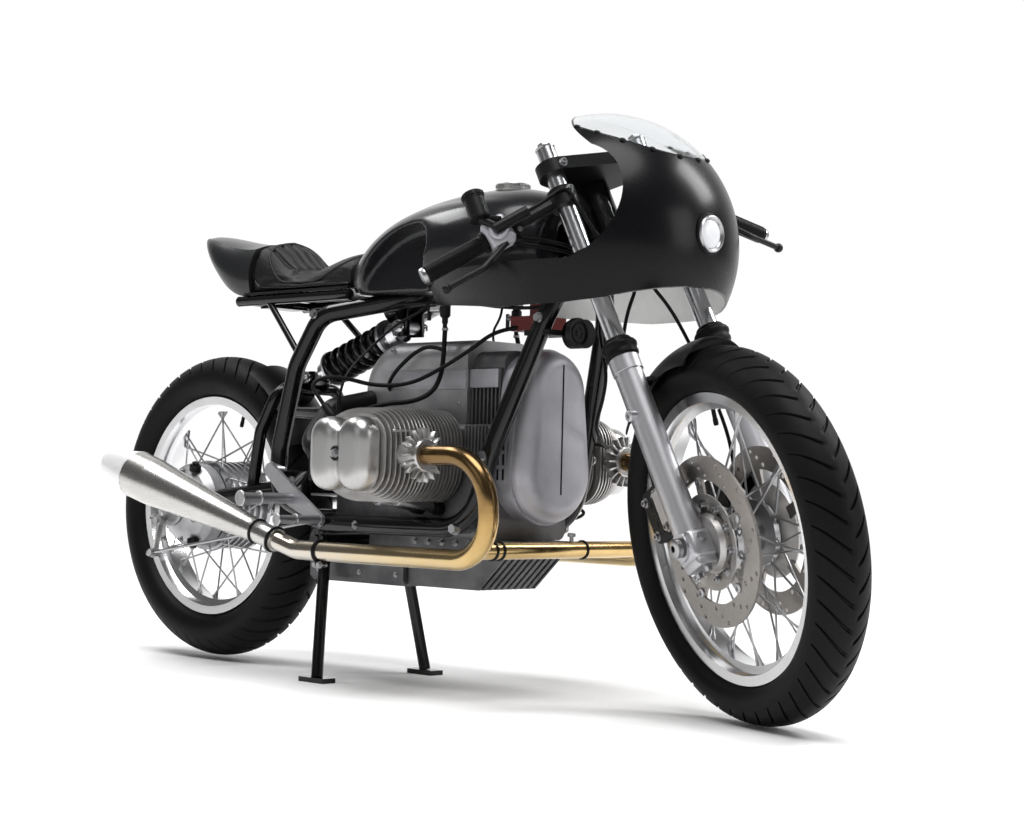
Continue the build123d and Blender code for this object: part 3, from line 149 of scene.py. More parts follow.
class Val:
    """A number that changes over a surface: a socket whose operators add Math nodes."""

    def __init__(self, graph: "Graph", socket: Socket) -> None:
        """Wraps a socket.

        Args:
            graph: The material that the socket belongs to.
            socket: The output that gives the number.
        """
        self.graph = graph
        self.socket = socket

    def maths(self, operation: str, *others: "Val | float") -> "Val":
        """Adds a Math node.

        Args:
            operation: The Math node's operation.
            others: The other operands, in order.

        Returns:
            The result.
        """
        values = dict(enumerate([self, *others]))
        made = self.graph.node("ShaderNodeMath", {"operation": operation}, values)
        return Val(self.graph, made.outputs[0])

    def __add__(self, other: "Val | float") -> "Val":
        """Adds."""
        return self.maths("ADD", other)

    def __sub__(self, other: "Val | float") -> "Val":
        """Takes away."""
        return self.maths("SUBTRACT", other)

    def __mul__(self, other: "Val | float") -> "Val":
        """Multiplies."""
        return self.maths("MULTIPLY", other)

    def __rsub__(self, other: float) -> "Val":
        """Takes away from a number."""
        made = self.graph.node("ShaderNodeMath", {"operation": "SUBTRACT"}, {0: other, 1: self})
        return Val(self.graph, made.outputs[0])

    __radd__ = __add__
    __rmul__ = __mul__

    def clamped(self) -> "Val":
        """Held between 0 and 1."""
        return self.maths("MINIMUM", 1.0).maths("MAXIMUM", 0.0)

    def between(self, low: float, high: float) -> "Val":
        """A smooth step.

        Args:
            low: Where it starts to rise from 0.
            high: Where it reaches 1.

        Returns:
            The step.
        """
        made = self.graph.node(
            "ShaderNodeMapRange",
            {"interpolation_type": "SMOOTHSTEP"},
            {"Value": self, "From Min": low, "From Max": high},
        )
        return Val(self.graph, made.outputs[0])


class Graph:
    """A material's nodes around one Principled shader."""

    def __init__(self, name: str) -> None:
        """Starts a material.

        Args:
            name: The finish's name.
        """
        self.material = bpy.data.materials.new(name)
        self.material.use_nodes = True
        self.tree = self.material.node_tree
        self.shader = next(n for n in self.tree.nodes if n.type == "BSDF_PRINCIPLED")

    def node(
        self,
        kind: str,
        settings: Optional[dict[str, Any]] = None,
        inputs: Optional[dict[Any, Any]] = None,
    ) -> bpy.types.Node:
        """Adds a node.

        Args:
            kind: The node's type.
            settings: Its own settings. The entry stops sets a ramp's places and colours.
            inputs: Its sockets' values or links, by name or number.

        Returns:
            The node.
        """
        made = self.tree.nodes.new(kind)
        for name, value in (settings or {}).items():
            if name == "stops":
                self._stops(made.color_ramp, value)
            else:
                setattr(made, name, value)
        for name, value in (inputs or {}).items():
            self.put(made.inputs[name], value)
        return made

    @staticmethod
    def _stops(ramp: bpy.types.ColorRamp, stops: Sequence[tuple[float, Colour]]) -> None:
        """Sets a ramp's stops.

        Args:
            ramp: The ramp.
            stops: Each stop's place and colour.
        """
        while len(ramp.elements) < len(stops):
            ramp.elements.new(1.0)
        for element, (place, colour) in zip(ramp.elements, stops):
            element.position = place
            element.color = (*colour, 1.0)

    def put(self, socket: Socket, value: Any) -> None:
        """Gives a socket a value or a link.

        Args:
            socket: The input.
            value: A number, a colour, or the output that feeds it.
        """
        if isinstance(value, Val):
            self.tree.links.new(value.socket, socket)
        elif isinstance(value, Socket):
            self.tree.links.new(value, socket)
        elif isinstance(value, (tuple, list)) and len(value) == 3 and socket.type == "RGBA":
            socket.default_value = (*value, 1.0)
        else:
            socket.default_value = value

    def place(self, scale: Point = (1, 1, 1)) -> Socket:
        """The surface's own place in metres, scaled."""
        coords = self.node("ShaderNodeTexCoord").outputs["Object"]
        return self.node("ShaderNodeMapping", None, {"Vector": coords, "Scale": tuple(scale)}).outputs[0]

    def split(self, vector: Socket) -> tuple[Val, Val, Val]:
        """A vector's X, Y and Z."""
        return tuple(Val(self, out) for out in self.node("ShaderNodeSeparateXYZ", None, {0: vector}).outputs)

    def noise(self, scale: float, detail: float = 3.0, rough: float = 0.5, stretch: Point = (1, 1, 1)) -> Val:
        """Cloudy noise from 0 to 1.

        Args:
            scale: How many clouds lie along a metre.
            detail: How many finer layers it has.
            rough: How strong the finer layers are.
            stretch: How much denser it is along each axis.

        Returns:
            The noise.
        """
        inputs = {"Vector": self.place(stretch), "Scale": scale, "Detail": detail, "Roughness": rough}
        return Val(self, self.node("ShaderNodeTexNoise", None, inputs).outputs[0])

    def cells(self, scale: float) -> Val:
        """Distance to the nearest cell's middle."""
        made = self.node("ShaderNodeTexVoronoi", None, {"Vector": self.place(), "Scale": scale})
        return Val(self, made.outputs["Distance"])

    def mix(self, factor: Val | float, first: Any, second: Any) -> Socket:
        """A colour between two others.

        Args:
            factor: 0 for the first and 1 for the second.
            first: One colour.
            second: The other.

        Returns:
            The mixed colour.
        """
        made = self.node("ShaderNodeMix", {"data_type": "RGBA"}, {"Factor": factor})
        self.put(made.inputs[6], first)
        self.put(made.inputs[7], second)
        return made.outputs[2]

    def ramp(self, factor: Val, stops: Sequence[tuple[float, Colour]]) -> Socket:
        """A colour read off a row of stops."""
        return self.node("ShaderNodeValToRGB", {"stops": stops}, {0: factor}).outputs[0]

    def bump(self, height: Val, strength: float, distance: float) -> Socket:
        """A normal raised by a height."""
        inputs = {"Height": height, "Strength": strength, "Distance": distance}
        return self.node("ShaderNodeBump", None, inputs).outputs[0]

    def finish(self, **values: Any) -> Material:
        """Sets the shader's sockets.

        Args:
            values: The sockets' values or links, named with underscores for spaces.

        Returns:
            The material.
        """
        for name, value in values.items():
            self.put(self.shader.inputs[name.replace("_", " ")], value)
        return self.material


MADE: dict[str, Material] = {}  # each finish's material, by the finish's name


@dataclass(frozen=True)
class Finish:
    """A surface finish that makes its material once."""

    name: str

    def make(self) -> Material:
        """Makes the material."""
        raise NotImplementedError

    def material(self) -> Material:
        """Gives the material, which is made when first asked for.

        Returns:
            The material.
        """
        if self.name not in MADE:
            MADE[self.name] = self.make()
        return MADE[self.name]


@dataclass(frozen=True)
class Paint(Finish):
    """Satin lacquer with a fine fleck and a clear coat."""

    base: Colour
    fleck: Colour
    roughness: float = 0.36
    metallic: float = 0.0
    coat: float = 0.5
    coat_roughness: float = 0.18
    specular: float = 0.4

    def lacquer(self, g: Graph) -> Socket:
        """The flecked and faintly clouded colour."""
        fleck = g.noise(2600.0, 1.0).between(0.52, 0.72)
        return g.mix(fleck * 0.5 + g.noise(3.5, 3.0) * 0.25, self.base, self.fleck)

    def make(self) -> Material:
        """Makes the material.

        Returns:
            The material.
        """
        g = Graph(self.name)
        peel = g.noise(420.0, 2.0)
        smear = g.noise(14.0, 5.0, 0.6)
        return g.finish(
            Base_Color=self.lacquer(g),
            Metallic=self.metallic,
            Roughness=self.roughness - 0.06 + smear * 0.12,
            Specular_IOR_Level=self.specular,
            Coat_Weight=self.coat,
            Coat_Roughness=self.coat_roughness,
            Normal=g.bump(peel, 0.03, 0.0004),
        )


@dataclass(frozen=True)
class LiningAndBouncePaint(Paint):
    """Lacquer outside, and inside a pale colour that is partly the bare moulding and partly painted light bounced up
    from the floor, told apart by which way the wall faces.
    """

    # the inside's pale tone: partly the moulding's own colour, partly painted bounce light from the floor
    lining_and_bounce: Colour = (0.62, 0.62, 0.61)
    middle: Triple = (0.393, 0.0, 0.85)

    def make(self) -> Material:
        """Makes the material.

        Returns:
            The material.
        """
        g = Graph(self.name)
        x, y, z = g.split(g.place())
        out_x, out_y, out_z = g.split(g.node("ShaderNodeNewGeometry").outputs["Normal"])
        ahead = (x - self.middle[0]).clamped()
        outward = ahead * out_x * 0.5 + (y - self.middle[1]) * out_y + (z - self.middle[2]) * out_z
        painted = outward.between(-0.002, 0.002)
        fibres = g.noise(60.0, 5.0, 0.7)
        # the bare inside's pale colour carries painted bounce light from the floor as well as the moulding's tone
        bare = g.mix(fibres, self.lining_and_bounce, tuple(c * 0.8 for c in self.lining_and_bounce))
        smear = g.noise(14.0, 5.0, 0.6)
        return g.finish(
            Base_Color=g.mix(painted, bare, self.lacquer(g)),
            Roughness=0.7 - painted * (0.7 - self.roughness + 0.05) + smear * 0.1,
            Specular_IOR_Level=self.specular,
            Coat_Weight=painted * self.coat,
            Coat_Roughness=self.coat_roughness,
            Normal=g.bump(fibres * (1 - painted), 0.1, 0.0008),
        )


@dataclass(frozen=True)
class CastAlloy(Finish):
    """Cast aluminium: a fine sandy skin with stains and dull patches."""

    base: Colour
    stain: Colour
    roughness: float = 0.46
    grain: float = 0.16
    metallic: float = 0.9

    def make(self) -> Material:
        """Makes the material.

        Returns:
            The material.
        """
        g = Graph(self.name)
        patches = g.noise(9.0, 6.0, 0.62)
        sand = g.noise(900.0, 2.0)
        coarse = g.noise(230.0, 3.0)
        colour = g.mix(patches.between(0.38, 0.72), self.base, self.stain)
        return g.finish(
            Base_Color=colour,
            Metallic=self.metallic,
            Roughness=self.roughness - 0.1 + patches * 0.2 + sand * 0.06,
            Normal=g.bump(sand * 0.6 + coarse, self.grain, 0.0006),
        )


@dataclass(frozen=True)
class Brushed(Finish):
    """Metal with fine marks along one axis."""

    base: Colour
    shade: Colour
    stretch: Triple = (14.0, 420.0, 420.0)
    roughness: float = 0.26
    marks: float = 0.06

    def make(self) -> Material:
        """Makes the material.

        Returns:
            The material.
        """
        g = Graph(self.name)
        lines = g.noise(1.0, 4.0, 0.6, self.stretch)
        smear = g.noise(11.0, 5.0, 0.6)
        colour = g.mix((lines * 0.6 + smear * 0.5 - 0.2).clamped(), self.base, self.shade)
        return g.finish(
            Base_Color=colour,
            Metallic=1.0,
            Roughness=self.roughness - 0.08 + lines * 0.12 + smear * 0.08,
            Normal=g.bump(lines, self.marks, 0.0003),
        )


@dataclass(frozen=True)
class Polished(Finish):
    """Bright metal with faint smears."""

    base: Colour
    roughness: float = 0.09
    smear: float = 0.1

    def make(self) -> Material:
        """Makes the material.

        Returns:
            The material.
        """
        g = Graph(self.name)
        smear = g.noise(18.0, 6.0, 0.65)
        fine = g.noise(700.0, 2.0)
        dull = tuple(c * 0.86 for c in self.base)
        return g.finish(
            Base_Color=g.mix(smear, self.base, dull),
            Metallic=1.0,
            Roughness=self.roughness - self.smear * 0.3 + smear * self.smear + fine * 0.02,
        )


@dataclass(frozen=True)
class HeatTint(Finish):
    """Stainless pipe coloured by heat, from bronze at the port to bare steel at the back."""

    level: float = 1.589
    along: float = -1.1
    rise: float = -3.02

    def make(self) -> Material:
        """Makes the material.

        Returns:
            The material.
        """
        g = Graph(self.name)
        x, _, z = g.split(g.place())
        mottle = g.noise(26.0, 5.0, 0.6)
        heat = x * self.along + z * self.rise + self.level + (mottle - 0.5) * 0.3
        colour = g.ramp(
            heat.clamped(),
            (
                (0.0, (0.20, 0.125, 0.055)),
                (0.08, (0.31, 0.195, 0.075)),
                (0.22, (0.47, 0.31, 0.125)),
                (0.42, (0.62, 0.44, 0.20)),
                (0.7, (0.62, 0.50, 0.31)),
                (1.0, (0.60, 0.57, 0.52)),
            ),
        )
        return g.finish(
            Base_Color=colour,
            Metallic=1.0,
            Roughness=0.14 + mottle * 0.16,
            Normal=g.bump(g.noise(160.0, 3.0), 0.04, 0.0006),
        )


@dataclass(frozen=True)
class Rubber(Finish):
    """Matt rubber with a fine grain and pale dust."""

    base: Colour
    dust: Colour
    roughness: float = 0.68
    grain: float = 0.12
    specular: float = 0.12

    def make(self) -> Material:
        """Makes the material.

        Returns:
            The material.
        """
        g = Graph(self.name)
        dust = g.noise(7.0, 6.0, 0.65).between(0.45, 0.8)
        grain = g.noise(1100.0, 2.0)
        return g.finish(
            Base_Color=g.mix(dust * 0.6, self.base, self.dust),
            Specular_IOR_Level=self.specular,
            Roughness=self.roughness - 0.05 + dust * 0.12,
            Normal=g.bump(grain, self.grain, 0.0005),
        )


@dataclass(frozen=True)
class Leather(Finish):
    """Black leather: pebbled grain, soft sheen and rubbed high spots."""

    base: Colour
    worn: Colour
    pebble: float = 520.0
    roughness: float = 0.42
    specular: float = 0.25

    def make(self) -> Material:
        """Makes the material.

        Returns:
            The material.
        """
        g = Graph(self.name)
        pebbles = g.cells(self.pebble)
        creases = g.noise(60.0, 6.0, 0.7)
        wear = g.noise(6.0, 4.0).between(0.42, 0.78)
        height = pebbles * 0.7 + creases * 0.6
        return g.finish(
            Base_Color=g.mix(wear * 0.6, self.base, self.worn),
            Specular_IOR_Level=self.specular,
            Roughness=self.roughness + pebbles * 0.18 - wear * 0.08,
            Normal=g.bump(height, 0.22, 0.0007),
        )


@dataclass(frozen=True)
class Clear(Finish):
    """Clear glass or acrylic."""

    tint: Colour
    roughness: float = 0.02
    ior: float = 1.45

    def make(self) -> Material:
        """Makes the material.

        Returns:
            The material.
        """
        g = Graph(self.name)
        smear = g.noise(12.0, 4.0)
        return g.finish(
            Base_Color=self.tint,
            Roughness=self.roughness + smear * 0.02,
            IOR=self.ior,
            Transmission_Weight=1.0,
        )


@dataclass(frozen=True)
class Glow(Finish):
    """A lit diffuser."""

    base: Colour
    strength: float

    def make(self) -> Material:
        """Makes the material.

        Returns:
            The material.
        """
        g = Graph(self.name)
        facets = g.cells(220.0)
        return g.finish(
            Base_Color=self.base,
            Roughness=0.25,
            Emission_Color=g.mix(facets, self.base, (1.0, 1.0, 1.0)),
            Emission_Strength=self.strength,
        )


class Finishes:
    """Every finish on the machine."""

    fairing = LiningAndBouncePaint(
        "charcoal_lacquer", (0.0026, 0.0027, 0.0033), (0.0075, 0.0077, 0.0092),
        roughness=0.27, coat=0.05, coat_roughness=0.16, specular=0.13,
    )
    tank = Paint(
        "gunmetal_lacquer", (0.0085, 0.0088, 0.010), (0.034, 0.035, 0.039),
        roughness=0.22, metallic=0.3, coat=0.2, coat_roughness=0.1, specular=0.3,
    )
    tail = Paint(
        "tail_paint", (0.012, 0.0123, 0.0135), (0.036, 0.037, 0.039),
        roughness=0.28, metallic=0.25, coat=0.15, coat_roughness=0.1, specular=0.25,
    )
    frame = Paint(
        "frame_black", (0.0024, 0.0024, 0.0026), (0.005, 0.005, 0.0055),
        roughness=0.2, coat=0.25, coat_roughness=0.06, specular=0.22,
    )
    satin_black = Paint(
        "satin_black", (0.0040, 0.0040, 0.0044), (0.009, 0.009, 0.0095),
        roughness=0.42, coat=0.0, coat_roughness=0.2, specular=0.2,
    )
    # the coil's red is its own colour darkened further as painted shade, for the shadow it sits in
    red = Paint("red_coil", (0.10, 0.005, 0.004), (0.16, 0.010, 0.008), roughness=0.4, coat=0.3)
    cast = CastAlloy("sand_cast_alloy", (0.44, 0.44, 0.45), (0.30, 0.30, 0.31), roughness=0.42)
    dark_cast = CastAlloy("dark_cast", (0.15, 0.15, 0.155), (0.085, 0.085, 0.09), roughness=0.5, metallic=0.85)
    cover = CastAlloy(
        "satin_cover", (0.43, 0.425, 0.455), (0.36, 0.355, 0.38), roughness=0.48, grain=0.06, metallic=0.8
    )
    fins = CastAlloy("finned_alloy", (0.50, 0.49, 0.48), (0.33, 0.32, 0.31), roughness=0.4, grain=0.12)
    pale = CastAlloy(
        "pale_cone", (0.86, 0.86, 0.86), (0.80, 0.80, 0.80), roughness=0.3, grain=0.03, metallic=0.35
    )
    brushed = Brushed("brushed_cover", (0.54, 0.535, 0.53), (0.38, 0.375, 0.37), (420.0, 30.0, 30.0), 0.3)
    slider = Brushed("satin_slider", (0.50, 0.50, 0.52), (0.42, 0.42, 0.44), (300.0, 300.0, 12.0), 0.38)
    stainless = Brushed("brushed_stainless", (0.60, 0.59, 0.57), (0.42, 0.41, 0.39), (10.0, 240.0, 240.0), 0.26)
    disc = Brushed("ground_disc", (0.36, 0.34, 0.32), (0.24, 0.225, 0.21), (90.0, 90.0, 90.0), 0.34)
    tinted = HeatTint("heat_tinted_steel")
    chrome = Polished("bright_chrome", (0.72, 0.72, 0.74), 0.08)
    hard_chrome = Polished("hard_chrome", (0.60, 0.60, 0.62), 0.17, 0.12)
    rim = Polished("polished_rim", (0.84, 0.84, 0.85), 0.16, 0.16)
    steel = Polished("hub_steel", (0.42, 0.42, 0.43), 0.26, 0.16)
    tyre = Rubber("tyre_rubber", (0.0030, 0.0030, 0.0032), (0.0095, 0.0092, 0.009), 0.56)
    rubber = Rubber("black_rubber", (0.0042, 0.0042, 0.0044), (0.009, 0.009, 0.009), 0.5)
    leather = Leather("black_leather", (0.0048, 0.0048, 0.0052), (0.012, 0.0115, 0.0115))
    screen = Clear("clear_screen", (0.93, 0.95, 0.96))
    glow = Glow("lamp_glow", (0.62, 0.63, 0.65), 0.14)


NODE_FINISHES: tuple[tuple[Finish, str], ...] = (
    (Finishes.frame, "frame subframe swingarm centre_stand shock_spring"),
    # the carburettor bodies take satin black as painted shade: they sit in shade behind the valve covers
    (Finishes.satin_black, "fairing_stay rear_mudguard front_mudguard horn carburettors"),
    (Finishes.satin_black, "top_yoke lower_yoke clip_ons brake_control clutch_control calipers"),
    (Finishes.fairing, "fairing"),
    (Finishes.tail, "tail_cowl"),
    (Finishes.tank, "tank"),
    (Finishes.red, "ignition_coil"),
    (Finishes.dark_cast, "crankcase gearbox sump belly_tray"),
    (Finishes.cast, "airbox final_drive"),
    (Finishes.fins, "cylinders"),
    (Finishes.cover, "front_cover"),
    (Finishes.slider, "fork_sliders shock footrests"),
    (Finishes.steel, "exhaust_nuts front_hub rear_hub front_axle rear_axle"),
    (Finishes.brushed, "tank_cap valve_covers"),
    (Finishes.stainless, "silencers"),
    (Finishes.tinted, "exhaust_headers"),
    (Finishes.hard_chrome, "fork_tubes"),
    (Finishes.chrome, "headlamp"),
    (Finishes.rim, "front_rim rear_rim"),
    (Finishes.disc, "front_discs"),
    (Finishes.tyre, "front_tyre rear_tyre"),
    (Finishes.rubber, "dust_boots grips"),
    (Finishes.leather, "seat_pad"),
    (Finishes.screen, "windscreen"),
    (Finishes.glow, "headlamp_lens"),
)


def dress_nodes() -> None:
    """Gives each CAD node its finish."""
    for finish, names in NODE_FINISHES:
        for name in names.split():
            mesh = frame["nodes"][name].data
            mesh.materials.clear()
            mesh.materials.append(finish.material())


def coated(mesh: bpy.types.Mesh, finish: Finish) -> None:
    """Gives a new mesh its finish and a smooth shade.

    Args:
        mesh: The mesh.
        finish: Its finish.
    """
    mesh.materials.clear()
    mesh.materials.append(finish.material())
    mesh.shade_smooth()


def linked(name: str, data: Any) -> Object:
    """Puts a new object in the scene, at the origin.

    Args:
        name: The object's name.
        data: Its mesh, curve, camera or light.

    Returns:
        The object.
    """
    made = bpy.data.objects.new(name, data)
    bpy.context.scene.collection.objects.link(made)
    return made


class Shape:
    """A mesh in the making, in metres, with the operators that the pieces share."""

    def __init__(self) -> None:
        """Starts an empty mesh."""
        self.bm = bmesh.new()

    @staticmethod
    def aim(start: Vector, toward: Vector) -> Matrix:
        """A frame at a point whose Z looks toward another.

        Args:
            start: The frame's origin.
            toward: The point that its Z axis looks toward.

        Returns:
            The frame's matrix.
        """
        turn = (toward - start).to_track_quat("Z", "Y").to_matrix().to_4x4()
        return Matrix.Translation(start) @ turn

    def rod(
        self, start: Vector, end: Vector, radius: float, end_radius: Optional[float] = None, sides: int = 20
    ) -> None:
        """Adds a capped bar or cone between two points.

        Args:
            start: One end's middle.
            end: The other end's middle.
            radius: The radius at the start.
            end_radius: The radius at the end, where it differs.
            sides: The number of sides.
        """
        far = radius if end_radius is None else end_radius
        depth = (end - start).length
        matrix = self.aim(start, end) @ Matrix.Translation((0, 0, depth / 2))
        bmesh.ops.create_cone(
            self.bm, cap_ends=True, segments=sides, radius1=radius, radius2=far, depth=depth, matrix=matrix
        )

    def box(self, matrix: Matrix, size: Point, bevel: float, segments: int = 2) -> None:
        """Adds a block with rounded edges.

        Args:
            matrix: The block's middle and turn.
            size: Its three sizes.
            bevel: How far its edges are rounded.
            segments: The steps of the rounding.
        """
        made = bmesh.ops.create_cube(self.bm, size=1.0, matrix=matrix @ Matrix.Diagonal((*size, 1.0)))
        edges = list({e for v in made["verts"] for e in v.link_edges})
        bmesh.ops.bevel(self.bm, geom=edges, offset=bevel, segments=segments, profile=0.5, affect="EDGES", material=-1)

    def block(self, place: Point, size: Point, bevel: float, segments: int = 2) -> None:
        """Adds an upright block at a place on the chassis in millimetres."""
        self.box(Matrix.Translation(at(*place)), size, bevel, segments)

    def lathe(
        self, profile: Profile, matrix: Matrix, steps: int = 32, closed: bool = False
    ) -> list[bmesh.types.BMVert]:
        """Spins a profile about a frame's Z axis.

        Args:
            profile: Radii and distances along the axis.
            matrix: The frame.
            steps: The steps of a full turn.
            closed: Whether the profile's last point joins its first.

        Returns:
            The new vertices.
        """
        verts = [self.bm.verts.new((r, 0.0, z)) for r, z in profile]
        pairs = list(zip(verts, verts[1:])) + ([(verts[-1], verts[0])] if closed else [])
        edges = [self.bm.edges.new(pair) for pair in pairs]
        known = set(self.bm.verts) - set(verts)
        bmesh.ops.spin(
            self.bm, geom=verts + edges, cent=(0, 0, 0), axis=(0, 0, 1), angle=tau, steps=steps, use_merge=True
        )
        made = [v for v in self.bm.verts if v not in known]
        bmesh.ops.remove_doubles(self.bm, verts=made, dist=1e-7)
        made = [v for v in self.bm.verts if v not in known]
        bmesh.ops.transform(self.bm, matrix=matrix, verts=made)
        return made

    def turned(
        self,
        profile: Profile,
        start: Vector,
        toward: Vector,
        steps: int = 32,
        closed: bool = False,
    ) -> None:
        """Adds a part turned about the line from one point toward another.

        Args:
            profile: Radii and distances along the line, in millimetres.
            start: The line's start.
            toward: The point that the line runs toward.
            steps: The steps of a full turn.
            closed: Whether the profile is a ring's section. Else it runs from one pole to the other.
        """
        self.lathe([(r / 1000, z / 1000) for r, z in profile], self.aim(start, toward), steps, closed)

    def band(
        self, start: Vector, toward: Vector, inner: float, outer: float, low: float, high: float, steps: int = 36
    ) -> None:
        """Adds a rounded ring round a tube.

        Args:
            start: The start of the tube's middle line.
            toward: A point further along it.
            inner: The ring's inner radius in millimetres.
            outer: Its outer radius.
            low: How far along the line it starts.
            high: How far along it ends.
            steps: The steps of a full turn.
        """
        cut = min(outer - inner, high - low) * 0.28
        lower = [(inner, low), (outer - cut, low), (outer, low + cut)]
        upper = [(outer, high - cut), (outer - cut, high), (inner, high)]
        self.turned(lower + upper, start, toward, steps, True)

    def ring(self, matrix: Matrix, radius: float, wire: float, steps: int = 40, sides: int = 10) -> None:
        """Adds a round ring about a frame's Z axis."""
        turn = [tau * k / sides for k in range(sides)]
        self.lathe([(radius + wire * cos(a), wire * sin(a)) for a in turn], matrix, steps, True)

    def screw(self, place: Vector, out: Vector, radius: float, height: float) -> None:
        """Adds a socket head screw on a washer.

        Args:
            place: Where it meets the surface.
            out: The way its head points.
            radius: The head's radius.
            height: The head's height.
        """
        matrix = self.aim(place, place + out)
        washer = [(0.0, 0.0), (radius * 1.5, 0.0), (radius * 1.5, height * 0.2), (radius, height * 0.2)]
        head = [(radius, height * 0.9), (radius * 0.9, height), (radius * 0.55, height), (radius * 0.5, height * 0.5)]
        self.lathe(washer + head + [(0.0, height * 0.5)], matrix, 12)

    def hexagon(self, place: Vector, out: Vector, radius: float, height: float) -> None:
        """Adds a six sided nut on a washer.

        Args:
            place: Where it meets the surface.
            out: The way it points.
            radius: The nut's radius to its corners.
            height: How far it stands out, with its washer.
        """
        out = out.normalized()
        self.rod(place, place + out * height * 0.2, radius * 1.25, sides=16)
        self.rod(place + out * height * 0.2, place + out * height, radius, radius * 0.96, sides=6)

    def piece(
        self,
        name: str,
        finish: Finish,
        slot: str,
        body: Body = Body.CHASSIS,
        replaces: Sequence[str] = (),
        crease: float = 34.0,
    ) -> None:
        """Makes the mesh a piece of the machine.

        Args:
            name: The piece's name.
            finish: Its finish.
            slot: A name for its material slot; not used.
            body: The body it rides on.
            replaces: The CAD nodes that it stands for.
            crease: The angle in degrees past which an edge is sharp.
        """
        bmesh.ops.recalc_face_normals(self.bm, faces=list(self.bm.faces))
        mesh = bpy.data.meshes.new(name)
        self.bm.to_mesh(mesh)
        self.bm.free()
        coated(mesh, finish)
        mesh.set_sharp_from_angle(angle=radians(crease))
        settle(linked(name, mesh), body, replaces)


def settle(
    made: Object, body: Body = Body.CHASSIS, replaces: Sequence[str] = ()
) -> None:
    """Rides a finished object on its body and reports it.

    Args:
        made: The object.
        body: The body it rides on.
        replaces: The CAD nodes that it stands for.
    """
    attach(made, body.value)
    if replaces:
        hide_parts(*replaces)
    LOG.info("%s on %s, %d faces", made.name, body.value, len(made.data.polygons))


QUARTER_STEPS = 4  # the steps of a quarter round of a cable
RUN_STEPS = 10  # the steps between two of its guide points


def strands(
    name: str,
    runs: Sequence[Sequence[Vector]],
    radius: float,
    finish: Finish,
    body: Body = Body.CHASSIS,
) -> None:
    """Round cables or hoses, each along one smooth line, as one piece.

    Args:
        name: The piece's name.
        runs: Each cable's guide points.
        radius: The cables' radius.
        finish: Their finish.
        body: The body they ride on.
    """
    curve = bpy.data.curves.new(name, "CURVE")
    curve.dimensions = "3D"
    curve.bevel_depth, curve.bevel_resolution = radius, QUARTER_STEPS
    curve.resolution_u = RUN_STEPS
    curve.use_fill_caps = True
    for run in runs:
        spline = curve.splines.new("NURBS")
        spline.points.add(len(run) - 1)
        for point, place in zip(spline.points, run):
            point.co = (*place, 1.0)
        spline.order_u = 3
        spline.use_endpoint_u = True
    holder = linked(name + "_line", curve)
    bpy.context.view_layer.update()
    mesh = bpy.data.meshes.new_from_object(holder.evaluated_get(bpy.context.evaluated_depsgraph_get()))
    bpy.data.objects.remove(holder)
    bpy.data.curves.remove(curve)
    mesh.name = name
    coated(mesh, finish)
    settle(linked(name, mesh), body)


def copied(name: str, node: str) -> Object:
    """A loose copy of a CAD node with its triangles joined.

    Args:
        name: The copy's name.
        node: The CAD node.

    Returns:
        The copy, linked to the scene.
    """
    joined = bmesh.new()
    joined.from_mesh(frame["nodes"][node].data)
    bmesh.ops.remove_doubles(joined, verts=joined.verts, dist=2e-5)
    mesh = bpy.data.meshes.new(name)
    joined.to_mesh(mesh)
    joined.free()
    return linked(name, mesh)


def applied(made: Object) -> None:
    """Bakes an object's modifiers into its mesh.

    Args:
        made: The object.
    """
    bpy.context.view_layer.update()
    mesh = bpy.data.meshes.new_from_object(made.evaluated_get(bpy.context.evaluated_depsgraph_get()))
    made.modifiers.clear()
    old = made.data
    made.data = mesh
    mesh.name = old.name
    bpy.data.meshes.remove(old)


def remeshed(made: Object, voxel: float) -> None:
    """Gives an object an even skin.

    Args:
        made: The object.
        voxel: The skin's spacing in metres.
    """
    skin = made.modifiers.new("skin", "REMESH")
    skin.mode, skin.voxel_size, skin.use_smooth_shade = "VOXEL", voxel, True
    applied(made)


def softened(name: str, node: str, voxel: float, rounds: int, finish: Finish) -> None:
    """A chassis node's shape with its edges rubbed round.

    Args:
        name: The piece's name.
        node: The CAD node that it stands for.
        voxel: The spacing of its skin in metres.
        rounds: How many times the skin is smoothed.
        finish: Its finish.
    """
    made = copied(name, node)
    remeshed(made, voxel)
    skin = bmesh.new()
    skin.from_mesh(made.data)
    for _ in range(rounds):
        bmesh.ops.smooth_vert(skin, verts=skin.verts, factor=0.5, use_axis_x=True, use_axis_y=True, use_axis_z=True)
    skin.to_mesh(made.data)
    skin.free()
    coated(made.data, finish)
    settle(made, replaces=[node])


def thickened(name: str, node: str, extra: float, finish: Finish) -> None:
    """A chassis node's shape with a skin that stands a little proud of it.

    Args:
        name: The piece's name.
        node: The CAD node that it stands for.
        extra: How far the skin stands out, in metres.
        finish: Its finish.
    """
    made = copied(name, node)
    proud = made.modifiers.new("proud", "DISPLACE")
    proud.strength, proud.mid_level = extra, 0.0
    applied(made)
    coated(made.data, finish)
    made.data.set_sharp_from_angle(angle=radians(40))
    settle(made, replaces=[node])


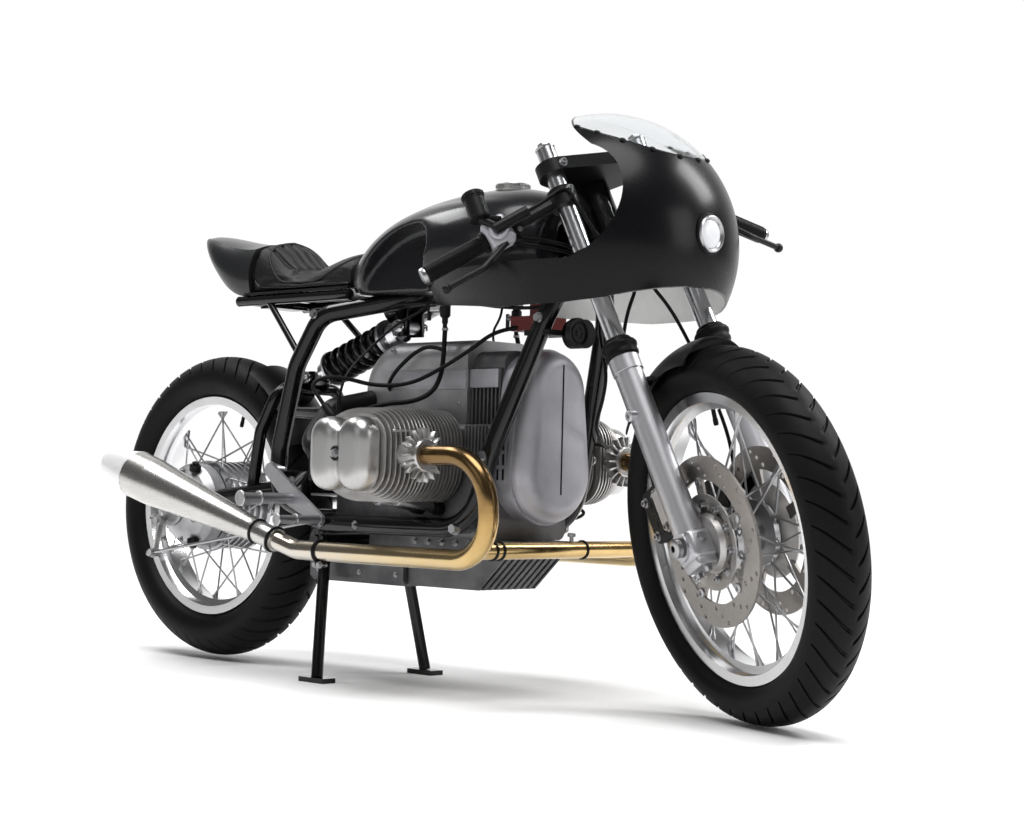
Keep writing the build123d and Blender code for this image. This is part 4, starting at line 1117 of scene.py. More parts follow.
def arc_points(first: Point, middle: Point, last: Point, steps: int) -> list[tuple[float, float]]:
    """Points on the arc through three places in a plane.

    Args:
        first: Where the arc starts.
        middle: A place on it.
        last: Where it ends.
        steps: How many steps it is cut into.

    Returns:
        The points, both ends included.
    """
    (ax, ay), (bx, by), (cx, cy) = first, middle, last
    d = 2 * (ax * (by - cy) + bx * (cy - ay) + cx * (ay - by))
    a2, b2, c2 = ax * ax + ay * ay, bx * bx + by * by, cx * cx + cy * cy
    ux = (a2 * (by - cy) + b2 * (cy - ay) + c2 * (ay - by)) / d
    uy = (a2 * (cx - bx) + b2 * (ax - cx) + c2 * (bx - ax)) / d
    radius = hypot(ax - ux, ay - uy)
    start, via, end = (atan2(y - uy, x - ux) for x, y in (first, middle, last))
    sweep = (end - start) % tau
    if (via - start) % tau > sweep:
        sweep -= tau
    return [
        (ux + radius * cos(start + sweep * k / steps), uy + radius * sin(start + sweep * k / steps))
        for k in range(steps + 1)
    ]


@dataclass
class Tyre:
    """A tyre with curved diagonal grooves. Sizes are in millimetres."""

    name: str
    body: Body
    place: Matrix
    radius: float
    width: float
    lip_radius: float
    rim_half: float
    turn: float = 1.0
    pitches: int = 46
    groove_depth: float = 5.0
    crown_drop: float = 30.0
    shoulder_share: float = 0.9
    sweep: float = 62.0
    bend: float = 1.35
    bead_drop: float = 10.6
    bead_inset: float = 6.0
    wall_ridges: tuple[float, ...] = (0.0, 0.0, 0.9, 0.9, 0.0, 0.7, 0.0, 0.0, 0.0, 0.0, 0.0)
    groove_span: tuple[float, float] = (0.06, 0.955)
    groove_middles: tuple[float, float] = (0.09, 0.59)
    groove_run: float = 14.0
    columns: tuple[float, ...] = (0.0, 0.05, 0.13, 0.18, 0.5, 0.55, 0.63, 0.68)

    def profile(self) -> list[tuple[float, float]]:
        """The closed section, from one bead over the crown to the other.

        Returns:
            Its points: radius and side.
        """
        seat, foot = self.lip_radius - self.bead_drop, self.lip_radius + 1
        bead, half = self.rim_half - self.bead_inset, self.width / 2
        shoulder = (self.radius - self.crown_drop, half * self.shoulder_share)
        wide = ((foot + shoulder[0]) / 2, half)
        wall = arc_points((foot, bead), wide, shoulder, len(self.wall_ridges) - 1)
        side = [(r, y + ridge) for (r, y), ridge in zip(wall, self.wall_ridges)]
        crown = arc_points(shoulder, (self.radius, 0.0), (shoulder[0], -shoulder[1]), 28)
        right = [(r, -y) for r, y in reversed(side)]
        return [(seat, bead), *side[:-1], *crown, *right[1:], (seat, -bead)]

    def groove(self, side: float) -> float:
        """How deep the grooves are at a place across the tread.

        Args:
            side: The place, in millimetres from the middle.

        Returns:
            The share of the full depth.
        """
        across = abs(side) / (self.width / 2)
        start = min(1.0, max(0.0, (across - self.groove_span[0]) / 0.06))
        end = min(1.0, max(0.0, (self.groove_span[1] - across) / 0.05))
        return start * end

    def build(self) -> None:
        """Spins the section, then leans its columns along the grooves and sinks them."""
        shape = Shape()
        steps = self.pitches * len(self.columns)
        points = [(r / 1000, y / 1000) for r, y in self.profile()]
        verts = shape.lathe(points, Matrix.Identity(4), steps, True)
        pitch = tau / self.pitches
        low = (self.radius - self.crown_drop - self.groove_run) / 1000
        for vert in verts:
            radius = hypot(vert.co.x, vert.co.y)
            column = round(atan2(vert.co.y, vert.co.x) / tau * steps) % steps
            group, place = divmod(column, len(self.columns))
            across = vert.co.z * 1000
            share = abs(across) / (self.width / 2)
            middle = self.groove_middles[place // 4]
            spread = middle + (self.columns[place] - middle) * (1.25 - 0.6 * share)
            lean = self.sweep * share**self.bend * self.turn / self.radius
            angle = pitch * (group + spread) + lean
            bottom = place in ((1, 2) if across > 0 else (5, 6))
            if bottom and radius > low:
                radius -= self.groove(across) * self.groove_depth / 1000
            vert.co.x, vert.co.y = radius * cos(angle), radius * sin(angle)
        turn = self.place @ Matrix.Rotation(radians(-90), 4, "X")
        bmesh.ops.transform(shape.bm, matrix=turn, verts=verts)
        shape.piece(self.name + "_treaded", Finishes.tyre, "tyre", self.body, [self.name], 28.0)


def mirrored(points: Sequence[Point]) -> list[list[Triple]]:
    """A row of right hand points in millimetres, and the same row on the left."""
    return [[(x, side * y, z) for x, y, z in points] for side in (1, -1)]


@dataclass
class WheelDress:
    """The small parts of a wire wheel: nipples, the spokes' heads on its hub and a valve."""

    name: str
    body: Body
    place: Matrix
    rim_radius: float
    flange_radius: float
    flange_side: float
    per_side: int = 18
    sweep: float = 32.0
    rim_half: float = 7.0
    nipple: float = 3.3
    valve_angle: float = 74.0

    def point(self, radius: float, angle: float, side: float) -> Vector:
        """A point of the wheel, from millimetres and degrees round the axle."""
        turn = radians(angle)
        return self.place @ (Vector((radius * cos(turn), side, radius * sin(turn))) / 1000)

    def build(self) -> None:
        """Makes the nipples, the spoke heads and the valve."""
        shape = Shape()
        step = 360 / self.per_side
        for side in SIDES:
            for k in range(self.per_side):
                angle = step * (k + (side + 1) / 4)
                lean = self.sweep if k % 2 else -self.sweep
                start = self.point(self.flange_radius - 4, angle, side * self.flange_side)
                end = self.point(self.rim_radius + 4, angle + lean, side * self.rim_half)
                along = (end - start).normalized()
                shape.rod(end - along * 0.022, end - along * 0.003, self.nipple * 0.00072, self.nipple / 1000, 10)
                out = self.point(0, 0, side) - self.point(0, 0, 0)
                head = self.point(self.flange_radius - 5, angle, side * (self.flange_side + 4.6))
                shape.rod(head, head + out.normalized() * 0.003, 0.0036, 0.0028, 10)
        shape.piece(self.name + "_nipples", Finishes.steel, "wheel_steel", self.body)
        valve = Shape()
        foot, tip = (self.point(self.rim_radius + r, self.valve_angle, 0) for r in (8, -34))
        stem = ((0, 0), (7, 0), (7, 4), (4, 7), (4, 24), (4.6, 24), (4.6, 34), (3.4, 36), (0, 36))
        valve.turned(stem, foot, tip, 14)
        valve.piece(self.name + "_valve", Finishes.rubber, "rubber", self.body)


@dataclass
class FrontBrakes:
    """What carries the discs on the hub, and the calipers' bolts and caps."""

    disc_side: float = 59.5
    disc_inner: float = 108.0
    carrier: float = 84.0
    bolt_circle: float = 64.0
    arms: int = 5

    @staticmethod
    def point(radius: float, turn: float, side: float) -> Vector:
        """A point of the front wheel, from millimetres and radians round the axle."""
        return PLAN.front_wheel() @ (Vector((radius * cos(turn), side, radius * sin(turn))) / 1000)

    def build(self) -> None:
        """Makes the carriers, their buttons and the calipers' hardware."""
        carriers, buttons = Shape(), Shape()
        edge = ((70, -6), (self.carrier, 2.6), (self.carrier, 5.2), (66, 1))
        cup = ((30, -14), (58, -14), *edge, (54, -4), (46, 12), (30, 16))
        button = ((0, 0), (9, 0), (9, 2.5), (7, 3.4), (4, 3.4), (4, 2), (0, 2))
        for side in SIDES:
            out = (PLAN.front_wheel().to_3x3() @ LEFT * side).normalized()
            hub = self.point(0, 0, side * self.disc_side)
            carriers.turned(cup, hub, hub + out, 60, True)
            for k in range(2 * self.arms):
                turn = pi * k / self.arms
                if k % 2 == 0:
                    place = self.point(self.disc_inner * 0.96, turn, side * (self.disc_side + 2.2))
                    buttons.turned(button, place, place + out, 18)
                buttons.screw(self.point(self.bolt_circle, turn, side * (self.disc_side + 1.5)), out, 0.0052, 0.007)
        carriers.piece("disc_carriers", Finishes.fins, "wheel_steel", Body.FRONT_WHEEL)
        buttons.piece("disc_buttons", Finishes.steel, "wheel_steel", Body.FRONT_WHEEL)
        self.caliper_parts()

    def caliper_parts(self) -> None:
        """The calipers' piston caps and bolts."""
        bolts, caps = Shape(), Shape()
        for side in SIDES:
            out = PLAN.fork_frame().to_3x3() @ LEFT * side
            for e, up in ((-52, 470), (-8, 470), (-52, 405), (-8, 405)):
                bolts.screw(fork(e, side * 89.4, up), out, 0.006, 0.008)
            for up in (420, 456):
                cap = fork(-30, side * 88, up)
                caps.turned(((0, 0), (17, 0), (17, 3), (14.5, 5), (6, 5), (5, 3.6), (0, 3.6)), cap, cap + out, 28)
        bolts.piece("caliper_bolts", Finishes.steel, "satin_alloy", Body.FORK)
        caps.piece("caliper_caps", Finishes.satin_black, "black_alloy", Body.FORK)


@dataclass
class ForkDress:
    """Ribbed boots, fork caps, pinch bolts and lugs on the fork's legs. Places are along the steering axis."""

    spread: float = 97.0
    offset: float = 58.0
    tube_top: float = 1143.0
    slider_top: float = 705.0
    axle_up: float = 342.3

    def build(self) -> None:
        """Makes the pieces."""
        self.boots()
        self.caps()
        self.lugs()
        self.pinch_bolts()

    def boots(self) -> None:
        """Rubber boots with a rolled lip and two ribs, over the solids."""
        profile = (
            (18.6, 0.4), (28.2, 0.4), (30.6, 2.5), (31.4, 7), (30, 11), (30.4, 14), (33, 19), (33.4, 23), (31, 27.5),
            (27, 30), (26.4, 33), (24, 36.5), (20.5, 38), (18.6, 38),
        )
        shape = Shape()
        for side in SIDES:
            start = fork(self.offset, side * self.spread, self.slider_top)
            toward = fork(self.offset, side * self.spread, self.slider_top + 100)
            shape.turned(profile, start, toward, 40, True)
        shape.piece("ribbed_boots", Finishes.rubber, "rubber", Body.FORK, ["dust_boots"])

    def caps(self) -> None:
        """Turned caps with a hexagon on the tubes' tops."""
        shape = Shape()
        for side in SIDES:
            low = fork(self.offset, side * self.spread, self.tube_top - 6)
            high = fork(self.offset, side * self.spread, self.tube_top + 60)
            shape.turned(((0, 6.2), (18.4, 6.2), (18.8, 7), (18.8, 10), (17, 11.6), (0, 11.6)), low, high, 36)
            up = (high - low).normalized()
            shape.rod(low + up * 0.0112, low + up * 0.019, 0.0125, 0.0119, 6)
        shape.piece("fork_caps", Finishes.brushed, "satin_alloy", Body.FORK)

    def lugs(self) -> None:
        """Axle clamp blocks, side lugs, collars and back ribs on the sliders."""
        shape = Shape()
        matrix = PLAN.fork_frame()
        lug = ((0, 0), (10, 0), (10, 15), (7.5, 17), (4, 17), (4, 13), (0, 13))
        for side in SIDES:
            y = side * self.spread
            for ahead, up, size, bevel, segments in (
                (4, self.axle_up - 6, (0.062, 0.046, 0.052), 0.009, 3),
                (4, self.axle_up - 36, (0.052, 0.040, 0.020), 0.006, 3),
                (-25, 520, (0.010, 0.012, 0.300), 0.004, 2),
            ):
                place = matrix @ Matrix.Translation(Vector((self.offset + ahead, y, up)) / 1000)
                shape.box(place, size, bevel, segments)
            foot = fork(self.offset + 6, side * (self.spread + 21), 592)
            shape.turned(lug, foot, fork(self.offset + 12, side * (self.spread + 60), 592), 20)
            shape.band(fork(self.offset, y, 0), fork(self.offset, y, 100), 25.6, 28.2, 676, 704)
        shape.piece("slider_lugs", Finishes.slider, "satin_alloy", Body.FORK)

    def pinch_bolts(self) -> None:
        """The clamp bolts of the yokes, the bars and the axle."""
        shape = Shape()
        frame3 = PLAN.fork_frame().to_3x3()
        ahead, down = frame3 @ AHEAD, -(frame3 @ UP)
        for side in SIDES:
            out = frame3 @ LEFT * side
            for up in (905, 1097):
                shape.screw(fork(self.offset + 29.5, side * (self.spread - 8), up), ahead, 0.0055, 0.009)
            for up in (1027, 1045):
                shape.screw(fork(self.offset + 26, side * (self.spread - 4), up), ahead, 0.0045, 0.007)
            for e in (self.offset - 14, self.offset + 22):
                shape.hexagon(fork(e, side * self.spread, self.axle_up - 46), down, 0.007, 0.010)
            end = fork(self.offset, side * 135, self.axle_up)
            shape.turned(((6, -6), (16, -6), (17, -3), (17, 0.4), (13, 2.2), (6.3, 2.2)), end, end + out, 30)
            shape.hexagon(fork(self.offset + 34, side * self.spread, self.axle_up + 2), ahead, 0.0075, 0.009)
        shape.piece("fork_bolts", Finishes.steel, "satin_alloy", Body.FORK)


@dataclass
class Cockpit:
    """Grips, switch housings, the reservoir's cap and the hoses on the bars."""

    start: Triple = (58.0, 97.0, 1036.0)
    end: Triple = (-45.0, 360.0, 970.0)
    grip_length: float = 125.0
    grip_ribs: int = 26
    cap_grips: int = 16

    def bar(self, side: int, along: float) -> Vector:
        """A point on a bar.

        Args:
            side: 1 for the left bar and -1 for the right one.
            along: How far it lies in from the bar's end, in millimetres.

        Returns:
            The point.
        """
        start, end = (Vector((e, side * y, up)) for e, y, up in (self.start, self.end))
        return fork(*(end - (end - start).normalized() * along))

    def pump(self) -> tuple[Vector, Vector, Vector]:
        """Where the brake pump sits, in the fork's millimetres.

        Returns:
            Its place on the right bar, the way out along the bar and the level way across it.
        """
        start, end = (Vector((e, -y, up)) for e, y, up in (self.start, self.end))
        along = (end - start).normalized()
        return end - along * (self.grip_length + 26), along, UP.cross(along).normalized()

    def build(self) -> None:
        """Makes the pieces."""
        self.grips()
        self.housings()
        self.reservoir()
        self.hoses()

    def grips(self) -> None:
        """Ribbed rubber grips with a flange, and bright bar ends."""
        rubber, ends = Shape(), Shape()
        grip = [(11.4, 0.0), (15.2, 0.0), (16.6, 1.6)]
        for k in range(self.grip_ribs):
            z = 5 + k * (self.grip_length - 16) / self.grip_ribs
            grip += [(16.7, z), (16.7, z + 2.4), (15.8, z + 2.9), (15.8, z + 3.7)]
        grip += [(16.7, 116), (20.5, 118), (20.8, 122), (19, 125), (11.4, 125)]
        shank = ((7.6, 30), (7.6, -1), (11, -1))
        weight = ((15.5, -1.4), (15.8, -4), (14.6, -9), (10, -10.4), (4, -10.4), (3.4, -8), (0, -8))
        for side in SIDES:
            tip, inner = self.bar(side, 0), self.bar(side, 50)
            rubber.turned(grip, tip, inner, 30, True)
            ends.turned(shank + weight, tip, inner, 30)
        rubber.piece("ribbed_grips", Finishes.rubber, "rubber", Body.FORK, ["grips"])
        ends.piece("bar_ends", Finishes.steel, "satin_alloy", Body.FORK)

    def housing(self, shape: Shape, side: int, along: float, size: Point, lift: float = 0.0) -> Matrix:
        """Adds a rounded housing round a bar.

        Args:
            shape: The mesh it goes into.
            side: 1 for the left bar and -1 for the right one.
            along: How far its middle lies in from the bar's end, in millimetres.
            size: Its three sizes in metres.
            lift: How far it stands ahead of the bar, in metres.

        Returns:
            The housing's frame: Z along the bar.
        """
        ahead = PLAN.fork_frame().to_3x3() @ AHEAD
        axis = (self.bar(side, 0) - self.bar(side, 50)).normalized()
        ahead = (ahead - axis * ahead.dot(axis)).normalized()
        matrix = Matrix((ahead, axis.cross(ahead), axis)).transposed().to_4x4()
        matrix.translation = self.bar(side, along) + ahead * lift
        shape.box(matrix, size, 0.010, 4)
        return matrix

    def housings(self) -> None:
        """The bright throttle housing with its screw, and the dark switch housing."""
        bright, dark, screws = Shape(), Shape(), Shape()
        matrix = self.housing(bright, -1, 150, (0.040, 0.058, 0.050), 0.010)
        face = matrix @ Vector((0.0195, 0.0, 0.0))
        out = (matrix.to_3x3() @ AHEAD).normalized()
        bright.turned(((0, 0), (19, 0), (19, 3), (16.5, 5), (12, 5), (11, 3.4), (0, 3.4)), face, face + out, 32)
        screws.screw(face + out * 0.0034, out, 0.0068, 0.006)
        self.housing(dark, 1, 141, (0.052, 0.046, 0.032), 0.004)
        clamp = self.housing(dark, -1, 188, (0.034, 0.036, 0.020), 0.0)
        for y in (0.014, -0.014):
            screws.screw(clamp @ Vector((0.016, y, 0.0)), out, 0.0036, 0.005)
        bright.piece("throttle_housing", Finishes.cover, "satin_alloy", Body.FORK)
        dark.piece("switch_housings", Finishes.satin_black, "black_alloy", Body.FORK)
        screws.piece("housing_screws", Finishes.steel, "satin_alloy", Body.FORK)

    def reservoir(self) -> None:
        """A screw cap with grips on the brake fluid cup, and a ring at each end of the cup."""
        shape = Shape()
        up = PLAN.fork_frame().to_3x3() @ UP
        seat, along, level = self.pump()
        cup = fork(*(seat + level * 34 + along * 26 + UP * 74))
        cap = ((0, -0.2), (19, -0.2), (20.6, 0.6), (20.6, 8.5), (18.6, 10.4), (9, 10.4), (8, 9.4), (0, 9.4))
        shape.turned(cap, cup, cup + up, 32)
        for k in range(self.cap_grips):
            turn = Matrix.Rotation(tau * k / self.cap_grips, 4, "Z")
            spot = shape.aim(cup, cup + up) @ turn @ Matrix.Translation((0.0206, 0, 0.0045))
            shape.box(spot, (0.0026, 0.0034, 0.0070), 0.0008, 1)
        for z in (-42, -3):
            shape.band(cup, cup + up, 18.6, 20.0, z, z + 2.6)
        shape.piece("reservoir_cap", Finishes.satin_black, "black_alloy", Body.FORK)

    def hoses(self) -> None:
        """Hoses and cables that stay on the fork: from the controls in toward the head, and down to the calipers."""
        seat, along, level = self.pump()
        master = seat + level * 34 - along * 62
        cup = seat + level * 34 + along * 26 + UP * 34
        brake = [
            fork(*master), fork(*(master - along * 34)), fork(86, -98, 1052), fork(91, -92, 1000), fork(94, -84, 950),
            fork(95, -74, 922), fork(90, -50, 907), fork(78, -26, 905), fork(66, -8, 905),
        ]
        feed = [fork(*p) for p in (cup, cup - along * 18 - UP * 8, seat + level * 40 - along * 8 + UP * 10)]
        lines = [brake]
        for side in SIDES:
            lines.append([
                fork(60, side * 6, 890), fork(58, side * 10, 850), fork(40, side * 46, 800), fork(20, side * 70, 740),
                fork(10, side * 84, 660), fork(6, side * 88, 560), fork(-10, side * 86, 500), fork(-22, side * 82, 468),
            ])
        strands("brake_hoses", lines, 0.0034, Finishes.rubber, Body.FORK)
        strands("reservoir_hose", [feed], 0.0048, Finishes.rubber, Body.FORK)
        cable = ((20, 172, 985), (20, 130, 974), (8, 94, 968), (2, 70, 952), (20, 52, 930), (31, 50, 914))
        loom = ((24, 190, 974), (24, 140, 958), (16, 98, 948), (12, 74, 936), (24, 62, 926), (37, 60, 914))
        runs = [
            [self.bar(side, inward), *(fork(e, side * y, up) for e, y, up in points)]
            for side, inward, points in ((-1, 150, cable), (1, 165, cable), (-1, 130, loom))
        ]
        strands("control_cables", runs, 0.0030, Finishes.rubber, Body.FORK)
        shape = Shape()
        junction = PLAN.fork_frame() @ Matrix.Translation(Vector((62, 0, 906)) / 1000)
        shape.box(junction, (0.018, 0.030, 0.034), 0.003)
        for side in SIDES:
            banjo = fork(-22, side * 80, 468)
            out = PLAN.fork_frame().to_3x3() @ LEFT * side
            shape.turned(((0, 0), (6, 0), (6, 12), (4.8, 13), (0, 13)), banjo, banjo + out, 16)
        shape.piece("hose_joints", Finishes.steel, "satin_alloy", Body.FORK)


class Surface:
    """A CAD node's or a piece's skin, for setting small parts on it."""

    def __init__(self, source: Object) -> None:
        """Reads a skin.

        Args:
            source: The object whose skin it is.
        """
        skin = bmesh.new()
        skin.from_mesh(source.data)
        bmesh.ops.remove_doubles(skin, verts=skin.verts, dist=2e-5)
        self.tree = BVHTree.FromBMesh(skin)
        skin.free()

    def near(self, place: Vector) -> tuple[Vector, Vector]:
        """The skin's nearest point to a place, and the way out there."""
        point, normal, _, _ = self.tree.find_nearest(place)
        return point, normal

    def along(self, start: Vector, way: Vector) -> tuple[Vector, Vector]:
        """Where a line first meets the skin, and the way out there.

        Args:
            start: The line's start.
            way: Its direction.

        Returns:
            The point and the skin's direction there. A line that misses gives its start.
        """
        point, normal, _, _ = self.tree.ray_cast(start, way.normalized())
        return (point, normal) if point else (start, -way.normalized())


@dataclass
class Seat:
    """The leather seat: a swollen pad with sewn channels on its hump, and piping round its top."""

    foot: float = 803.0
    voxel: float = 0.0045
    shrink: float = -0.005
    pressure: float = 4.0
    travel: float = 0.009
    steps: int = 20
    channel_sides: tuple[float, ...] = (-62.0, -37.0, -12.5, 12.5, 37.0, 62.0)
    channel_depth: float = 5.5
    channel_width: float = 3.6
    channel_from: float = 212.0
    channel_to: float = 306.0

    def build(self) -> None:
        """Makes the pad, its channels, its piping and its rim."""
        pad = copied("seat_leather", "seat_pad")
        remeshed(pad, self.voxel)
        drawn_in = pad.modifiers.new("drawn_in", "DISPLACE")
        drawn_in.strength, drawn_in.mid_level = self.shrink, 0.0
        applied(pad)
        self.swell(pad)
        finer = pad.modifiers.new("finer", "SUBSURF")
        finer.levels = finer.render_levels = 1
        applied(pad)
        self.sew(pad)
        coated(pad.data, Finishes.leather)
        settle(pad, replaces=["seat_pad"])
        self.piping(Surface(pad))

    def swell(self, pad: Object) -> None:
        """Blows the pad up with its foot held, and caps how far each point goes.

        Args:
            pad: The pad.
        """
        base = at(0, 0, self.foot + 8).z
        held = pad.vertex_groups.new(name="foot")
        held.add([v.index for v in pad.data.vertices if v.co.z < base], 1.0, "REPLACE")
        before = [v.co.copy() for v in pad.data.vertices]
        cloth = pad.modifiers.new("swell", "CLOTH")
        cloth.settings.use_pressure = True
        cloth.settings.uniform_pressure_force = self.pressure
        cloth.settings.vertex_group_mass = "foot"
        cloth.settings.effector_weights.gravity = 0.0
        for step in range(1, self.steps + 1):
            bpy.context.scene.frame_set(step)
        applied(pad)
        bpy.context.scene.frame_set(1)
        for vertex, old in zip(pad.data.vertices, before):
            move = vertex.co - old
            if move.length > self.travel:
                vertex.co = old + move.normalized() * self.travel

    def sew(self, pad: Object) -> None:
        """Draws the sewn channels into the hump's face.

        Args:
            pad: The pad.
        """
        skin = bmesh.new()
        skin.from_mesh(pad.data)
        skin.normal_update()
        moves = []
        for vertex in skin.verts:
            x = (vertex.co.x * 1000) + PLAN.middle
            y = vertex.co.y * 1000
            facing = vertex.normal.x * 0.8 + vertex.normal.z
            inside = 1 / (1 + exp(-(x - self.channel_from) / 4)) / (1 + exp((x - self.channel_to) / 5))
            inside /= 1 + exp((abs(y) - 72) / 2)
            if facing < 0.3 or inside < 0.02:
                continue
            groove = sum(exp(-(((y - line) / self.channel_width) ** 2)) for line in self.channel_sides)
            hem = exp(-(((x - self.channel_to + 4) / 4) ** 2))
            moves.append((vertex, vertex.normal * inside * (2.2 - self.channel_depth * max(groove, 0.8 * hem)) / 1000))
        for vertex, move in moves:
            vertex.co += move
        skin.to_mesh(pad.data)
        skin.free()

    def piping(self, skin: Surface) -> None:
        """Runs piping round the pad's top and a rim along its foot.

        Args:
            skin: The pad's skin.
        """
        half = (
            (216, 0), (217, -30), (219, -58), (224, -76), (240, -84), (275, -87), (318, -87), (360, -87), (400, -86),
            (440, -83), (470, -76), (492, -60), (500, -34), (502, 0),
        )
        loop = list(half) + [(x, -y) for x, y in reversed(half[1:-1])] + [half[0]]
        path = []
        for x, y in loop:
            start = at(x, y, 1000)
            point, out = skin.along(start, -UP)
            path.append(point + out * 0.0004)
        strands("seat_piping", [path], 0.0029, Finishes.leather)
        rim = (
            (190, -101, 846), (194, -103, 830), (206, -104, 815), (230, -104, 808), (300, -104, 806), (400, -104, 806),
            (500, -100, 806),
        )
        runs = [[skin.near(at(*point))[0] for point in row] for row in mirrored(rim)]
        strands("seat_rim", runs, 0.0030, Finishes.frame)


@dataclass
class Bodywork:
    """The tank's soft skin and cap, the screen's screws and the headlamp."""

    cap: Triple = (874.0, 0.0, 974.0)
    lamp: Triple = (1358.0, 0.0, 861.0)
    screws: tuple[Point, ...] = (
        (1158, 134, 1050), (1205, 132, 1037), (1252, 116, 1022), (1290, 78, 1008), (1312, 26, 998),
    )
    knurls: int = 36

    def build(self) -> None:
        """Makes the pieces."""
        softened("tank_skin", "tank", 0.0036, 16, Finishes.tank)
        self.filler()
        self.headlamp()
        self.screen_screws()

    def filler(self) -> None:
        """A flush filler cap with a knurled skirt."""
        shape = Shape()
        low = at(*self.cap)
        flange = ((0, -4), (37, -4), (37, 3.5), (35, 5), (32.6, 5.4), (32.6, 8))
        lid = ((33.4, 8.6), (33.4, 15.5), (31.8, 17.2), (26, 18), (24.5, 17), (0, 16.4))
        shape.turned(flange + lid, low, low + UP, 48)
        for k in range(self.knurls):
            turn = Matrix.Rotation(tau * k / self.knurls, 4, "Z")
            spot = shape.aim(low, low + UP) @ turn @ Matrix.Translation((0.0334, 0, 0.012))
            shape.box(spot, (0.0022, 0.0028, 0.0064), 0.0006, 1)
        shape.piece("filler_cap", Finishes.brushed, "satin_alloy", replaces=["tank_cap"])

    def headlamp(self) -> None:
        """A stepped bright bezel, a rubber ring and a domed lens."""
        lamp = at(*self.lamp)
        ahead = lamp + AHEAD
        ring, gasket, lens = Shape(), Shape(), Shape()
        outer = ((25, 2), (33, 2), (34, 4), (34, 9), (32.6, 11.4))
        inner = ((30.6, 12), (29, 10.6), (27.6, 9.8), (26.4, 7.6), (25, 6))
        ring.turned(outer + inner, lamp, ahead, 64, True)
        gasket.ring(gasket.aim(lamp + AHEAD * 0.0045, ahead), 0.0352, 0.0026, 64)
        lens.turned(((0, 13.2), (8, 12.9), (16, 11.6), (22, 9.4), (26, 7), (26.4, 4), (0, 3)), lamp, ahead, 56)
        ring.piece("lamp_bezel", Finishes.steel, "chrome", replaces=["headlamp"])
        gasket.piece("lamp_gasket", Finishes.rubber, "rubber")
        lens.piece("lamp_lens", Finishes.glow, "lens", replaces=["headlamp_lens"])

    def screen_screws(self) -> None:
        """Dark dome screws along the screen's foot."""
        skin = Surface(frame["nodes"]["windscreen"])
        middle = at(1114, 0, 850)
        dome = ((0, -2), (6.4, -2), (6.4, 0.8), (5.2, 2.6), (2.6, 3.8), (1.6, 3.2), (0, 2.6))
        shape = Shape()
        for x, y, z in self.screws:
            for side in SIDES:
                place, out = skin.near(at(x, side * y, z))
                out = out if out.dot(place - middle) > 0 else -out
                shape.turned(dome, place, place + out, 18)
        shape.piece("screen_screws", Finishes.satin_black, "black_alloy")


